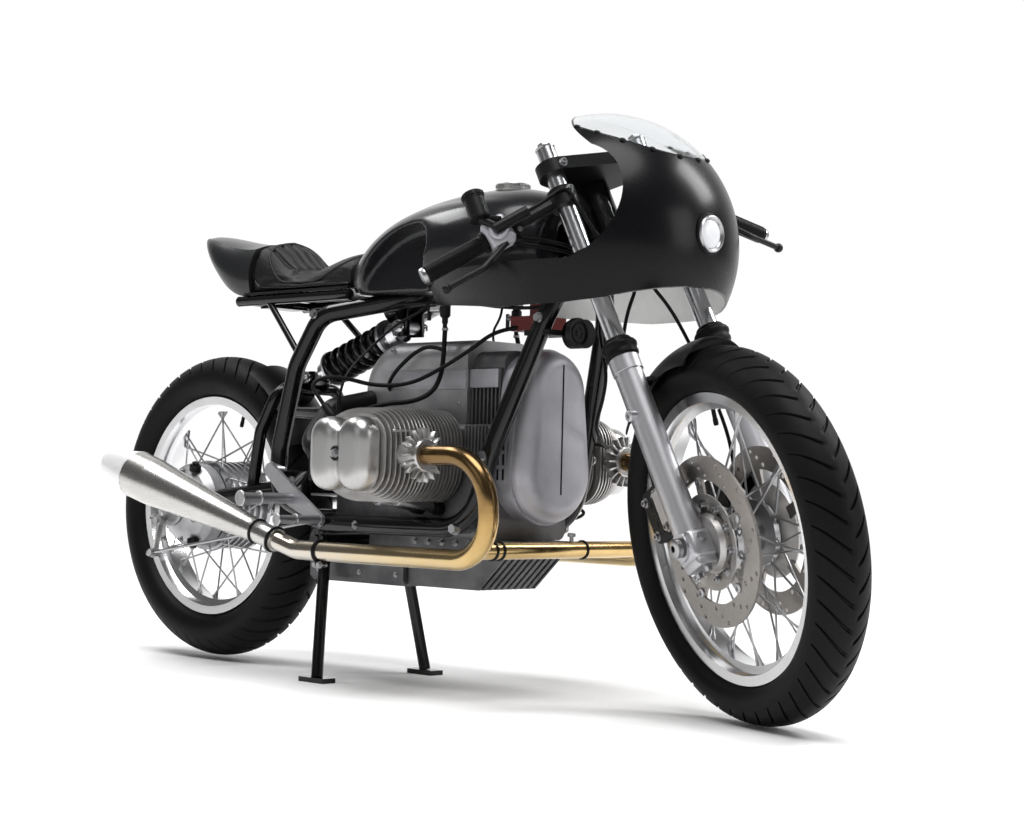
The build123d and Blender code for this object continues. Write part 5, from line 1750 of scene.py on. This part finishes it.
@dataclass
class Engine:
    """What is bolted to the flat twin: ribs, vents, nuts, pushrod tubes, carburettor tops and plates."""

    cylinders: tuple[tuple[int, float], ...] = ((-1, 775.0), (1, 813.0))
    cylinder_z: float = 457.0
    cover_face: float = 360.0
    case_half: float = 106.0
    front_face: float = 1019.0
    fin_pitch: float = 9.3
    barrel_fins: int = 12
    head_fins: int = 10
    nut_blades: int = 18

    def build(self) -> None:
        """Makes the pieces."""
        softened("valve_domes", "valve_covers", 0.0028, 30, Finishes.brushed)
        self.cylinders_and_heads()
        self.star_nuts()
        self.cover_nuts()
        self.pushrod_tubes()
        self.carburettor_tops()
        self.ribs_and_vents()
        self.plates()
        self.bolts()

    def fin(self, shape: Shape, place: Vector, size: Point, corner: float) -> None:
        """Adds one fin: a thin plate with round corners.

        Args:
            shape: The mesh it goes into.
            place: Its middle.
            size: Its width along X, thickness along Y and height, in millimetres.
            corner: The radius of its corners.
        """
        matrix = Matrix.Translation(place) @ Matrix.Diagonal((*(v / 1000 for v in size), 1.0))
        made = bmesh.ops.create_cube(shape.bm, size=1.0, matrix=matrix)
        edges = {e for v in made["verts"] for e in v.link_edges}
        across = [e for e in edges if abs(e.verts[0].co.y - e.verts[1].co.y) > 1e-4]
        bmesh.ops.bevel(
            shape.bm, geom=across, offset=corner / 1000, segments=7, profile=0.5, affect="EDGES", material=-1
        )

    def cylinders_and_heads(self) -> None:
        """Barrels and heads as rows of fins that draw in toward the valve covers, with their ports."""
        shape = Shape()
        for side, x in self.cylinders:
            middle = [at(x, side * y, self.cylinder_z) for y in (104, 224, 308)]
            shape.rod(middle[0], middle[1], 0.062, sides=48)
            for k in range(self.barrel_fins):
                place = at(x, side * (116 + self.fin_pitch * k), self.cylinder_z)
                self.fin(shape, place, (186, 3.2, 178), 66)
            core = Matrix.Translation((middle[1] + middle[2]) / 2)
            shape.box(core, (0.146, 0.086, 0.132), 0.030, 4)
            for k in range(self.head_fins):
                draw = max(0.0, k / (self.head_fins - 1) - 0.3) / 0.7
                place = at(x, side * (226 + 8.9 * k), self.cylinder_z)
                self.fin(shape, place, (214 - 42 * draw**1.5, 3.0, 178 - 28 * draw**1.5), 60 - 8 * draw)
            shape.block((x + 96, side * 262, self.cylinder_z + 44), (0.006, 0.072, 0.004), 0.001, 1)
            for reach, y, rise, radius in ((0.125, 260, 0, 0.027), (-0.112, 250, 8, 0.024)):
                port = at(x, side * y, self.cylinder_z + rise)
                shape.rod(port, port + AHEAD * reach, radius, sides=36)
        shape.piece("finned_cylinders", Finishes.fins, "cast_alloy", replaces=["cylinders"])

    def star_nuts(self) -> None:
        """The exhaust nuts: a ring with thin blades all round."""
        shape = Shape()
        for side, x in self.cylinders:
            start = at(x + 126, side * 260, self.cylinder_z)
            ahead = start + AHEAD
            shape.band(start, ahead, 19.4, 31, 0, 22, 40)
            for k in range(self.nut_blades):
                turn = Matrix.Rotation(tau * k / self.nut_blades, 4, "Z")
                lean = Matrix.Rotation(radians(8), 4, "Y")
                blade = shape.aim(start, ahead) @ turn @ Matrix.Translation((0.0390, 0, 0.0115)) @ lean
                shape.box(blade, (0.0230, 0.0040, 0.0150), 0.0018, 2)
        shape.piece("star_nuts", Finishes.brushed, "stainless", replaces=["exhaust_nuts"])

    def cover_nuts(self) -> None:
        """The pocket, satin black as painted shade in the gap between the lobes, and the nut in the middle of each
        valve cover.
        """
        pocket, nut = Shape(), Shape()
        well = ((0, -9), (14, -9), (14, 2.4), (12.6, 3.6), (11.6, 2.8), (11, 1), (0, 1))
        for side, x in self.cylinders:
            out = LEFT * side
            spot = at(x, side * (self.cover_face - 8), self.cylinder_z)
            pocket.turned(well, spot, spot + out, 30)
            nut.hexagon(spot + out * 0.001, out, 0.0068, 0.005)
            nut.rod(spot + out * 0.006, spot + out * 0.0085, 0.0036, 0.0032, 14)
        # the pocket's satin black is painted shade in the gap between the cover's lobes
        pocket.piece("cover_pockets", Finishes.satin_black, "black_alloy")
        nut.piece("cover_nuts", Finishes.steel, "stainless")

    def pushrod_tubes(self) -> None:
        """Two tubes with rubber seals under each barrel, and the plugs with their caps."""
        tubes, seals, caps = Shape(), Shape(), Shape()
        plug = ((0, -8), (9, -8), (9, 6), (6.4, 8), (6.4, 14), (0, 14))
        cap = ((0, 10), (9.4, 10), (10.4, 13), (10.4, 30), (8.4, 34), (8.4, 44), (6, 48), (0, 48))
        for side, x in self.cylinders:
            for shift in (-27, 27):
                start = at(x + shift, side * 100, 356)
                end = at(x + shift, side * 226, 374)
                tubes.rod(start, end, 0.0095, sides=24)
                seals.band(start, end, 9.3, 14, 4, 22)
                seals.band(start, end, 9.3, 12.5, 26, 31)
                tubes.band(start, end, 9.3, 12, 112, 122)
            low = at(x - 66, side * 292, self.cylinder_z + 56)
            high = at(x - 112, side * 306, self.cylinder_z + 112)
            tubes.turned(plug, low, high, 20)
            caps.turned(cap, low, high, 22)
        tubes.piece("pushrod_tubes", Finishes.steel, "stainless")
        seals.piece("pushrod_seals", Finishes.rubber, "rubber")
        caps.piece("plug_caps", Finishes.rubber, "rubber")

    def carburettor_tops(self) -> None:
        """Domed tops with a band and a cable adjuster, bowls and side screws."""
        dark, bright = Shape(), Shape()
        dome = ((0, 0), (27, 0), (29, 3), (29, 11), (26, 15), (18, 22), (9, 26))
        adjuster = ((7, 30), (7, 46), (5, 52), (5, 70), (0, 70))
        bowl = ((0, 0), (24, 0), (26, -3), (26, -20), (22, -26), (9, -30), (9, -36), (0, -36))
        for side, x in self.cylinders:
            low, under, screw = (
                at(x - 112, side * y, z) for y, z in ((250, 492), (250, 437), (279, 466))
            )
            dark.turned(dome + adjuster, low, low + UP, 36)
            dark.band(low, low + UP, 28, 31, 2, 9)
            for shift in (-25, 25):
                bright.screw(at(x - 112 + shift, side * 250, 503), UP, 0.0036, 0.005)
            bright.turned(bowl, under, under + UP, 36)
            bright.turned(((0, -4), (6, -4), (6, 4), (4.6, 5.4), (0, 5.4)), screw, screw + LEFT * side, 18)
        dark.piece("carburettor_tops", Finishes.satin_black, "carb_alloy")
        bright.piece("carburettor_bowls", Finishes.cast, "carb_alloy")

    def ribs_and_vents(self) -> None:
        """Upright ribs on the case's sides, dark blocks as painted shade for the slots in the front cover's sides, and
        the dark seam down its face.
        """
        ribs, slots, frames = Shape(), Shape(), Shape()
        for side in SIDES:
            for x in range(868, 928, 9):
                ribs.block((x, side * (self.case_half + 0.5), 484), (0.0046, 0.007, 0.066), 0.0018)
            for x in (946, 960):
                for z in (425, 453, 481):
                    slots.block((x, side * 96.6, z), (0.0062, 0.0042, 0.0220), 0.0018)
            frames.block((953, side * 96.2, 453), (0.030, 0.0036, 0.092), 0.0016)
        slots.block((self.front_face + 0.2, 0, 512), (0.0022, 0.0030, 0.246), 0.0006, 1)
        ribs.piece("case_ribs", Finishes.dark_cast, "cast_alloy")
        # the slots' black is painted shade standing for the vents' openings; the seam is a dark joint
        slots.piece("cover_vents", Finishes.rubber, "rubber")
        frames.piece("vent_frames", Finishes.cover, "cast_alloy")

    def plates(self) -> None:
        """A bare strip along each side of the air box and over the ribs ahead of it."""
        strip, edge = Shape(), Shape()
        for side in SIDES:
            strip.block((742, side * 91.0, 608), (0.204, 0.0040, 0.030), 0.0016)
            edge.block((742, side * 90.2, 608), (0.214, 0.0034, 0.040), 0.0014)
            strip.block((891, side * 82.5, 608), (0.076, 0.0060, 0.036), 0.0024)
        strip.piece("side_strips", Finishes.cover, "cast_alloy")
        edge.piece("strip_edges", Finishes.cast, "cast_alloy")

    def bolts(self) -> None:
        """Screws along the sump, the case, the gearbox and the tray, and the engine's mounting nuts."""
        shape = Shape()
        screws = (
            # side, radius, height, places along and up
            (80, 4.5, 6, [(x, 291) for x in range(706, 900, 38)]),
            (self.case_half, 5.2, 7, ((704, 506), (704, 330), (912, 330), (840, 324), (770, 324))),
            (88, 4.6, 6, ((496, 500), (560, 505), (640, 505), (672, 420), (496, 420), (640, 330))),
            (90, 3.6, 3, ((430, 222), (556, 222), (664, 222))),
            (88, 4.0, 5, ((560, 660), (640, 667), (830, 560), (600, 540))),
        )
        for side in SIDES:
            out = LEFT * side
            for y, radius, height, places in screws:
                for x, z in places:
                    shape.screw(at(x, side * y, z), out, radius / 1000, height / 1000)
            for x, y, z in ((601, 134, 318), (889, 148, 321), (496, 134, 318)):
                shape.hexagon(at(x, side * y, z), out, 0.0098, 0.012)
        shape.piece("engine_bolts", Finishes.steel, "stainless")


@dataclass
class Exhaust:
    """Clamps, bolts and the pale reverse cones of the silencers."""

    neck: Triple = (489.0, 250.0, 284.0)
    tip: Triple = (-51.0, 272.0, 432.0)
    length: float = 560.4
    cone: float = 464.0
    radius: float = 50.0
    mouth: float = 27.0
    cross: tuple[float, float] = (1040.0, 286.5)

    def build(self) -> None:
        """Makes the pieces."""
        clamps, nuts, cones = Shape(), Shape(), Shape()
        radius, mouth, cone, length = self.radius, self.mouth, self.cone, self.length
        outside = ((radius - 0.6, cone - 1), (radius + 0.5, cone - 1), (radius + 0.7, cone + 2))
        lip = ((mouth + 1, length - 1), (mouth, length + 1.4), (mouth - 3.4, length + 1.4), (mouth - 4, length - 2))
        profile = outside + lip + ((mouth - 4, length - 34), (mouth - 1, length - 34))
        for side in SIDES:
            start = at(self.neck[0], side * self.neck[1], self.neck[2])
            end = at(self.tip[0], side * self.tip[1], self.tip[2])
            clamps.band(start, end, 22.5, 27.4, 4, 9)
            clamps.band(start, end, 22.5, 26.4, 58, 62.5)
            pipe, further = at(620, side * 246.8, 268), at(560, side * 247.5, 268)
            clamps.band(pipe, further, 18.8, 23.6, 0, 6)
            for shift in (-6, 6):
                spot = pipe + Vector((shift / 1000, 0, -0.026))
                nuts.rod(spot + Vector((0, -0.008, 0)), spot + Vector((0, 0.008, 0)), 0.0042, sides=12)
                nuts.hexagon(spot + Vector((0, side * 0.008, 0)), LEFT * side, 0.0056, 0.006)
            clamps.box(Matrix.Translation(pipe - UP * 0.024), (0.020, 0.010, 0.012), 0.002)
            cones.turned(profile, start, end, 64, True)
        for y in (-204, -186, 40):
            place = at(self.cross[0], y, self.cross[1])
            clamps.band(place, place + Vector((0, 1, 0)), 15.8, 18.6, -2, 2)
        knob = at(self.cross[0], 10, self.cross[1] + 15)
        nuts.turned(((0, 0), (4, 0), (4, 9), (8, 10), (8, 15), (6, 17), (0, 17)), knob, knob + UP, 20)
        clamps.piece("exhaust_clamps", Finishes.satin_black, "black_alloy")
        nuts.piece("clamp_nuts", Finishes.steel, "stainless")
        cones.piece("silencer_cones", Finishes.pale, "stainless")


@dataclass
class RearEnd:
    """The drive's bolts and plugs, the brake arm and rod, the shock's cups and the footrests' ends."""

    drive_face: float = 150.0
    axle: tuple[float, float] = (0.0, 342.0)
    shock_low: Triple = (303.0, 0.0, 622.0)
    shock_top: Triple = (590.0, 0.0, 722.0)
    shock_bore: float = 14.0

    def build(self) -> None:
        """Makes the pieces."""
        self.drive()
        self.brake_arm()
        self.shock_cups()
        self.peg_ends()

    def drive(self) -> None:
        """Bolts round the drive's cover, its plugs and a raised rib."""
        bolts, plugs, ribs = Shape(), Shape(), Shape()
        out = -LEFT
        x0, z0 = self.axle
        for k in range(8):
            turn = tau * (k + 0.5) / 8
            spot = at(x0 + 80 * cos(turn), -self.drive_face + 9, z0 + 80 * sin(turn))
            bolts.screw(spot, out, 0.0048, 0.007)
        face = at(x0, -self.drive_face - 0.5, z0)
        ribs.turned(((34, -6), (46, -6), (46, 0), (43, 3), (37, 3), (34, 0)), face, face + out, 48)
        for z, rise in ((424, 1), (262, -1)):
            way = Vector((0.35, -0.2, rise)).normalized()
            spot = at(34, -112, z)
            plugs.turned(((0, -6), (13, -6), (13, 5), (11, 7), (0, 7)), spot, spot + way, 28)
            plugs.rod(spot + way * 0.006, spot + way * 0.013, 0.0085, 0.008, 6)
        bolts.piece("drive_bolts", Finishes.steel, "stainless")
        plugs.piece("drive_plugs", Finishes.satin_black, "black_alloy")
        ribs.piece("drive_ring", Finishes.cast, "cast_alloy")

    def brake_arm(self) -> None:
        """A flat arm with two bolts behind the drive, and the rod that pulls it."""
        shape, rods = Shape(), Shape()
        out = -LEFT
        high, low = at(-20, -160, 308), at(-38, -160, 236)
        turn = (low - high).to_track_quat("Z", "Y").to_matrix().to_4x4()
        size = (0.016, 0.007, (low - high).length + 0.012)
        shape.box(Matrix.Translation((high + low) / 2) @ turn, size, 0.003)
        shape.rod(at(-20, -128, 308), at(-20, -166, 308), 0.0105, sides=24)
        shape.rod(at(-38, -150, 236), at(-38, -172, 236), 0.008)
        for spot in (high, low):
            shape.hexagon(spot + out * 0.006, out, 0.0088, 0.010)
        rods.rod(at(-40, -168, 236), at(500, -168, 322), 0.0034, sides=14)
        rods.rod(at(-52, -168, 234), at(-30, -168, 237.6), 0.0062, sides=14)
        rods.turned(((0, -10), (8, -10), (8, 10), (0, 10)), at(500, -168, 322), at(500, -200, 322), 20)
        shape.piece("brake_arm", Finishes.brushed, "satin_alloy")
        rods.piece("brake_rod", Finishes.steel, "stainless")

    def shock_cups(self) -> None:
        """Bright cups and adjuster rings at the spring's ends, and end bolts."""
        shape, dark = Shape(), Shape()
        low, top = at(*self.shock_low), at(*self.shock_top)
        for outer, near, far in ((25, 30, 52), (29, 53, 60), (31, 61, 65), (28, 243.5, 282), (29.6, 250, 254)):
            shape.band(low, top, self.shock_bore, outer, near, far)
        dark.band(low, top, self.shock_bore, 33, 236, 243)
        for end in (low, top):
            for side in SIDES:
                shape.hexagon(end + Vector((0, side * 0.030, 0)), LEFT * side, 0.011, 0.012)
            shape.rod(end + Vector((0, -0.031, 0)), end + Vector((0, 0.031, 0)), 0.008, sides=18)
        shape.piece("shock_cups", Finishes.chrome, "satin_alloy")
        dark.piece("shock_ring", Finishes.satin_black, "black_alloy")

    def peg_ends(self) -> None:
        """Flanges and dark plugs on the ends of the footrests and toe pegs."""
        flange, plug = Shape(), Shape()
        for side in SIDES:
            for x, y, z, radius in ((415, 288, 366, 14.5), (506, 268, 326, 11.0)):
                end = at(x, side * y, z)
                out = LEFT * side
                flange.band(end, end + out, radius * 0.55, radius + 1.6, -5, 0.8)
                flange.band(end, end + out, radius * 0.8, radius + 0.9, -52, -47)
                plug.turned(((0, -3), (radius * 0.62, -3), (radius * 0.6, -0.6), (0, -0.6)), end, end + out, 24)
        flange.piece("peg_flanges", Finishes.brushed, "satin_alloy")
        plug.piece("peg_plugs", Finishes.rubber, "rubber")


@dataclass
class Fittings:
    """The horn's face, the frame's bolts and the rails' plugs."""

    rail_ends: tuple[Point, ...] = ((150.0, 92.0, 786.4), (505.0, 92.0, 786.4))
    bolts: tuple[tuple[float, float, float, float], ...] = (
        # x, side, z, radius
        (400, 143, 395, 13), (448, 135, 744, 8), (957, 152, 458, 9), (1046, 102, 717, 8), (338, 143, 430, 9),
    )

    def build(self) -> None:
        """Makes the pieces."""
        low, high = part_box("horn")
        face = Vector((high[0], (low[1] + high[1]) / 2, (low[2] + high[2]) / 2))
        horn = Shape()
        ripples = ((0, 2.6), (5, 2.6), (6, 0.6), (11, 0.6), (12, 2.4), (17, 2.4), (18, 0.6), (22, 0.6))
        rim = ((23, 4.6), (27.6, 5), (28.6, 3), (28.6, -6), (27, -7))
        horn.turned(ripples + rim, face, face + AHEAD, 44)
        horn.piece("horn_face", Finishes.satin_black, "black_alloy")
        nuts, plugs = Shape(), Shape()
        plug = ((0, -6), (9, -6), (9, 0), (11.2, 0.4), (11.2, 2), (8, 4.4), (0, 5))
        for side in SIDES:
            out = LEFT * side
            for x, y, z, radius in self.bolts:
                nuts.hexagon(at(x, side * y, z), out, radius / 1000, radius / 1000)
            for (x, y, z), way in zip(self.rail_ends, (-1, 1)):
                end = at(x, side * y, z)
                plugs.turned(plug, end, end + AHEAD * way, 24)
        nuts.piece("frame_bolts", Finishes.steel, "stainless")
        plugs.piece("rail_plugs", Finishes.rubber, "rubber")


@dataclass
class Plumbing:
    """Fuel taps, hoses, cables and leads that stay on the chassis. Places are on the right, in millimetres."""

    left_shift: float = 38.0
    shift_from: float = 100.0
    shift_over: float = 150.0
    fuel: tuple[Point, ...] = (
        (797, -100, 708), (799, -103, 688), (803, -108, 650), (805, -116, 610), (800, -134, 578), (780, -166, 560),
        (748, -204, 556), (712, -236, 540), (694, -244, 512), (684, -246, 494),
    )
    lead: tuple[Point, ...] = (
        (935, -40, 706), (900, -62, 702), (866, -98, 662), (811, -125, 624), (755, -152, 594), (708, -200, 590),
        (680, -252, 604), (656, -292, 603), (649, -309, 586), (667, -305, 565), (681, -301, 547),
    )
    throttle: tuple[Point, ...] = (
        (768, -94, 792), (758, -98, 766), (743, -106, 742), (690, -130, 716), (662, -165, 672), (655, -210, 630),
        (661, -244, 592), (663, -250, 556),
    )
    breather: tuple[Point, ...] = (
        (795, -104, 664), (770, -108, 672), (730, -110, 664), (676, -110, 630), (645, -104, 604), (634, -94, 590),
        (629, -74, 582),
    )
    choke: tuple[Point, ...] = (
        (663, -262, 512), (640, -268, 540), (610, -246, 548), (572, -200, 530), (560, -130, 508), (556, -96, 493),
        (555, -80, 488),
    )
    front_cable: tuple[Point, ...] = (
        (1053, 66, 738), (1072, 38, 712), (1100, 16, 668), (1122, 6, 616), (1104, 18, 570), (1062, 44, 520),
        (1034, 96, 490), (1006, 150, 482), (966, 184, 486), (930, 195, 492), (894, 200, 494),
    )
    loom: tuple[Point, ...] = (
        (1056, -66, 750), (1044, -50, 744), (1000, -74, 738), (930, -84, 742), (860, -92, 752), (780, -96, 756),
        (700, -84, 760), (620, -66, 762),
    )
    small_lead: tuple[Point, ...] = (
        (850, 231, 378), (853, 232, 362), (874, 236, 352), (884, 196, 340), (890, 140, 338), (884, 104, 344),
    )

    def shift(self, side: float) -> float:
        """How far ahead the left run lies at a place out from the middle."""
        return self.left_shift * min(max(abs(side) - self.shift_from, 0) / self.shift_over, 1.0)

    def runs(self, points: Sequence[Point]) -> list[list[Vector]]:
        """A run on the right and its fellow on the left, where the cylinder stands further ahead."""
        right, left = mirrored(points)
        return [[at(*p) for p in right], [at(x + self.shift(y), y, z) for x, y, z in left]]

    def build(self) -> None:
        """Makes the pieces."""
        single = [[at(*p) for p in run] for run in (self.front_cable, self.loom, self.small_lead)]
        for name, runs, radius in (
            ("fuel_hoses", self.runs(self.fuel), 0.0048),
            ("plug_leads", self.runs(self.lead), 0.0040),
            ("breather_hoses", self.runs(self.breather), 0.0040),
            ("slide_cables", self.runs(self.throttle) + self.runs(self.choke), 0.0026),
            ("frame_cables", single, 0.0034),
        ):
            strands(name, runs, radius, Finishes.rubber)
        self.taps()

    def taps(self) -> None:
        """Fuel taps under the tank, with a nut, a lever and a spout."""
        bright, dark = Shape(), Shape()
        valve = ((0, 0), (8, 0), (8, 26), (10.5, 28), (10.5, 52), (8, 55))
        spout = ((6, 57), (6, 66), (4.4, 68), (4.4, 82), (0, 82))
        for side in SIDES:
            top = at(796, side * 100, 782)
            dark.turned(valve + spout, top, top - UP, 24)
            bright.rod(top - UP * 0.008, top - UP * 0.022, 0.0135, sides=6)
            spot = at(786, side * 103, 742)
            bright.rod(spot, spot + Vector((-0.020, side * 0.006, 0)), 0.0058, sides=18)
            dark.block((762, side * 110, 736), (0.006, 0.008, 0.030), 0.002)
            bright.band(at(797, side * 100, 706), at(797, side * 100, 600), 4.6, 6.4, 0, 5)
        dark.piece("fuel_taps", Finishes.satin_black, "black_alloy")
        bright.piece("tap_nuts", Finishes.steel, "stainless")


@dataclass
class Studio:
    """The plain floor, soft lights and the camera at the photo's angle."""

    eye: Triple = (3526.2, -2751.6, 420.0)
    yaw: float = 133.82
    pitch: float = 1.98
    roll: float = 1.42
    focal_px: float = 1967.8
    image_width: float = 1024.0
    sensor: float = 36.0
    floor_half: float = 60.0
    room: tuple[float, float, float, float] = (0.35, 0.95, 0.12, 1.02)
    ceiling: float = 3.2
    ceiling_spread: float = 44.0
    ceiling_lean: float = 16.0
    boxes: tuple[tuple[str, Point, Point, float, float, float], ...] = (
        # name, place, aim, width, height, power
        ("right_box", (0.2, -4.2, 2.0), (0.1, 0.0, 0.5), 2.6, 1.4, 7.0),
        ("front_box", (4.4, 1.4, 1.8), (0.4, 0.0, 0.6), 1.6, 2.0, 34.0),
        ("nose_box", (1.7, 2.1, 2.8), (0.55, 0.0, 0.9), 1.0, 1.3, 62.0),
        ("tank_box", (-1.85, -0.7, 3.1), (0.1, -0.1, 0.9), 1.7, 0.8, 36.0),
    )

    def build(self) -> None:
        """Makes the stage."""
        self.camera()
        self.floor()
        self.white_room()
        self.lights()

    def camera(self) -> None:
        """Places the camera where the photo was taken from."""
        yaw, pitch, roll = (radians(v) for v in (self.yaw, self.pitch, self.roll))
        forward = Vector((cos(pitch) * cos(yaw), cos(pitch) * sin(yaw), sin(pitch)))
        right = forward.cross(Vector((0, 0, 1))).normalized()
        up = right.cross(forward)
        side = right * cos(roll) + up * sin(roll)
        top = up * cos(roll) - right * sin(roll)
        data = bpy.data.cameras.new("camera")
        data.sensor_width = self.sensor
        data.sensor_fit = "HORIZONTAL"
        data.lens = self.focal_px * self.sensor / self.image_width
        data.clip_end = 100.0
        matrix = Matrix((side, top, -forward)).transposed().to_4x4()
        matrix.translation = at(*self.eye)
        camera = linked("camera", data)
        camera.matrix_world = matrix
        bpy.context.scene.camera = camera

    def floor(self) -> None:
        """A wide pale floor."""
        shape = bmesh.new()
        bmesh.ops.create_grid(shape, x_segments=1, y_segments=1, size=self.floor_half)
        mesh = bpy.data.meshes.new("floor")
        shape.to_mesh(mesh)
        shape.free()
        mesh.materials.append(Graph("pale_floor").finish(Base_Color=(0.92, 0.92, 0.92), Roughness=0.9))
        linked("floor", mesh)

    def white_room(self) -> None:
        """A white world that lights less from the camera's side, and plain tones."""
        bpy.context.scene.view_settings.view_transform = "Standard"
        world = bpy.data.worlds.new("room")
        world.use_nodes = True
        nodes, links = world.node_tree.nodes, world.node_tree.links
        where, facing, shade, ray, seen = (
            nodes.new("ShaderNode" + kind) for kind in ("TexCoord", "VectorMath", "MapRange", "LightPath", "Math")
        )
        facing.operation, shade.interpolation_type, seen.operation = "DOT_PRODUCT", "SMOOTHSTEP", "MAXIMUM"
        yaw = radians(self.yaw)
        facing.inputs[1].default_value = (cos(yaw), sin(yaw), 0.0)
        for socket, value in zip(("From Min", "From Max", "To Min", "To Max"), self.room):
            shade.inputs[socket].default_value = value
        background = nodes["Background"].inputs
        background["Color"].default_value = (1.0, 1.0, 1.0, 1.0)
        for source, target in (
            (where.outputs["Generated"], facing.inputs[0]),
            (facing.outputs["Value"], shade.inputs["Value"]),
            (shade.outputs["Result"], seen.inputs[0]),
            (ray.outputs["Is Camera Ray"], seen.inputs[1]),
            (seen.outputs["Value"], background["Strength"]),
        ):
            links.new(source, target)
        bpy.context.scene.world = world

    def lights(self) -> None:
        """A wide sun overhead that leans to the camera's side, and soft boxes."""
        data = bpy.data.lights.new("ceiling", "SUN")
        data.energy, data.angle = self.ceiling, radians(self.ceiling_spread)
        yaw, lean = radians(self.yaw), radians(self.ceiling_lean)
        down = Vector((sin(lean) * cos(yaw), sin(lean) * sin(yaw), -cos(lean)))
        linked("ceiling", data).rotation_euler = down.to_track_quat("-Z", "Y").to_euler()
        for name, place, aim, width, height, power in self.boxes:
            data = bpy.data.lights.new(name, "AREA")
            data.shape = "RECTANGLE"
            data.size, data.size_y, data.energy = width, height, power
            light = linked(name, data)
            light.location = place
            light.rotation_euler = (Vector(aim) - Vector(place)).to_track_quat("-Z", "Y").to_euler()


def main() -> None:
    """Builds the stage, the finishes and every piece."""
    logging.basicConfig(level=logging.INFO, format="%(name)s: %(message)s")
    Studio().build()
    dress_nodes()
    Tyre("front_tyre", Body.FRONT_WHEEL, PLAN.front_wheel(), 331.0, 110.0, 255.0, 36.0, -1.0).build()
    Tyre("rear_tyre", Body.REAR_WHEEL, PLAN.rear_wheel(), 334.0, 120.0, 242.0, 42.0).build()
    WheelDress("front", Body.FRONT_WHEEL, PLAN.front_wheel(), 223.7, 58.0, 38.0).build()
    WheelDress("rear", Body.REAR_WHEEL, PLAN.rear_wheel(), 210.7, 99.0, 48.0).build()
    FrontBrakes().build()
    ForkDress().build()
    Cockpit().build()
    thickened("frame_tubes", "frame", 0.0028, Finishes.frame)
    Seat().build()
    Bodywork().build()
    Engine().build()
    Exhaust().build()
    RearEnd().build()
    Plumbing().build()
    Fittings().build()


if __name__ == "__main__":
    main()
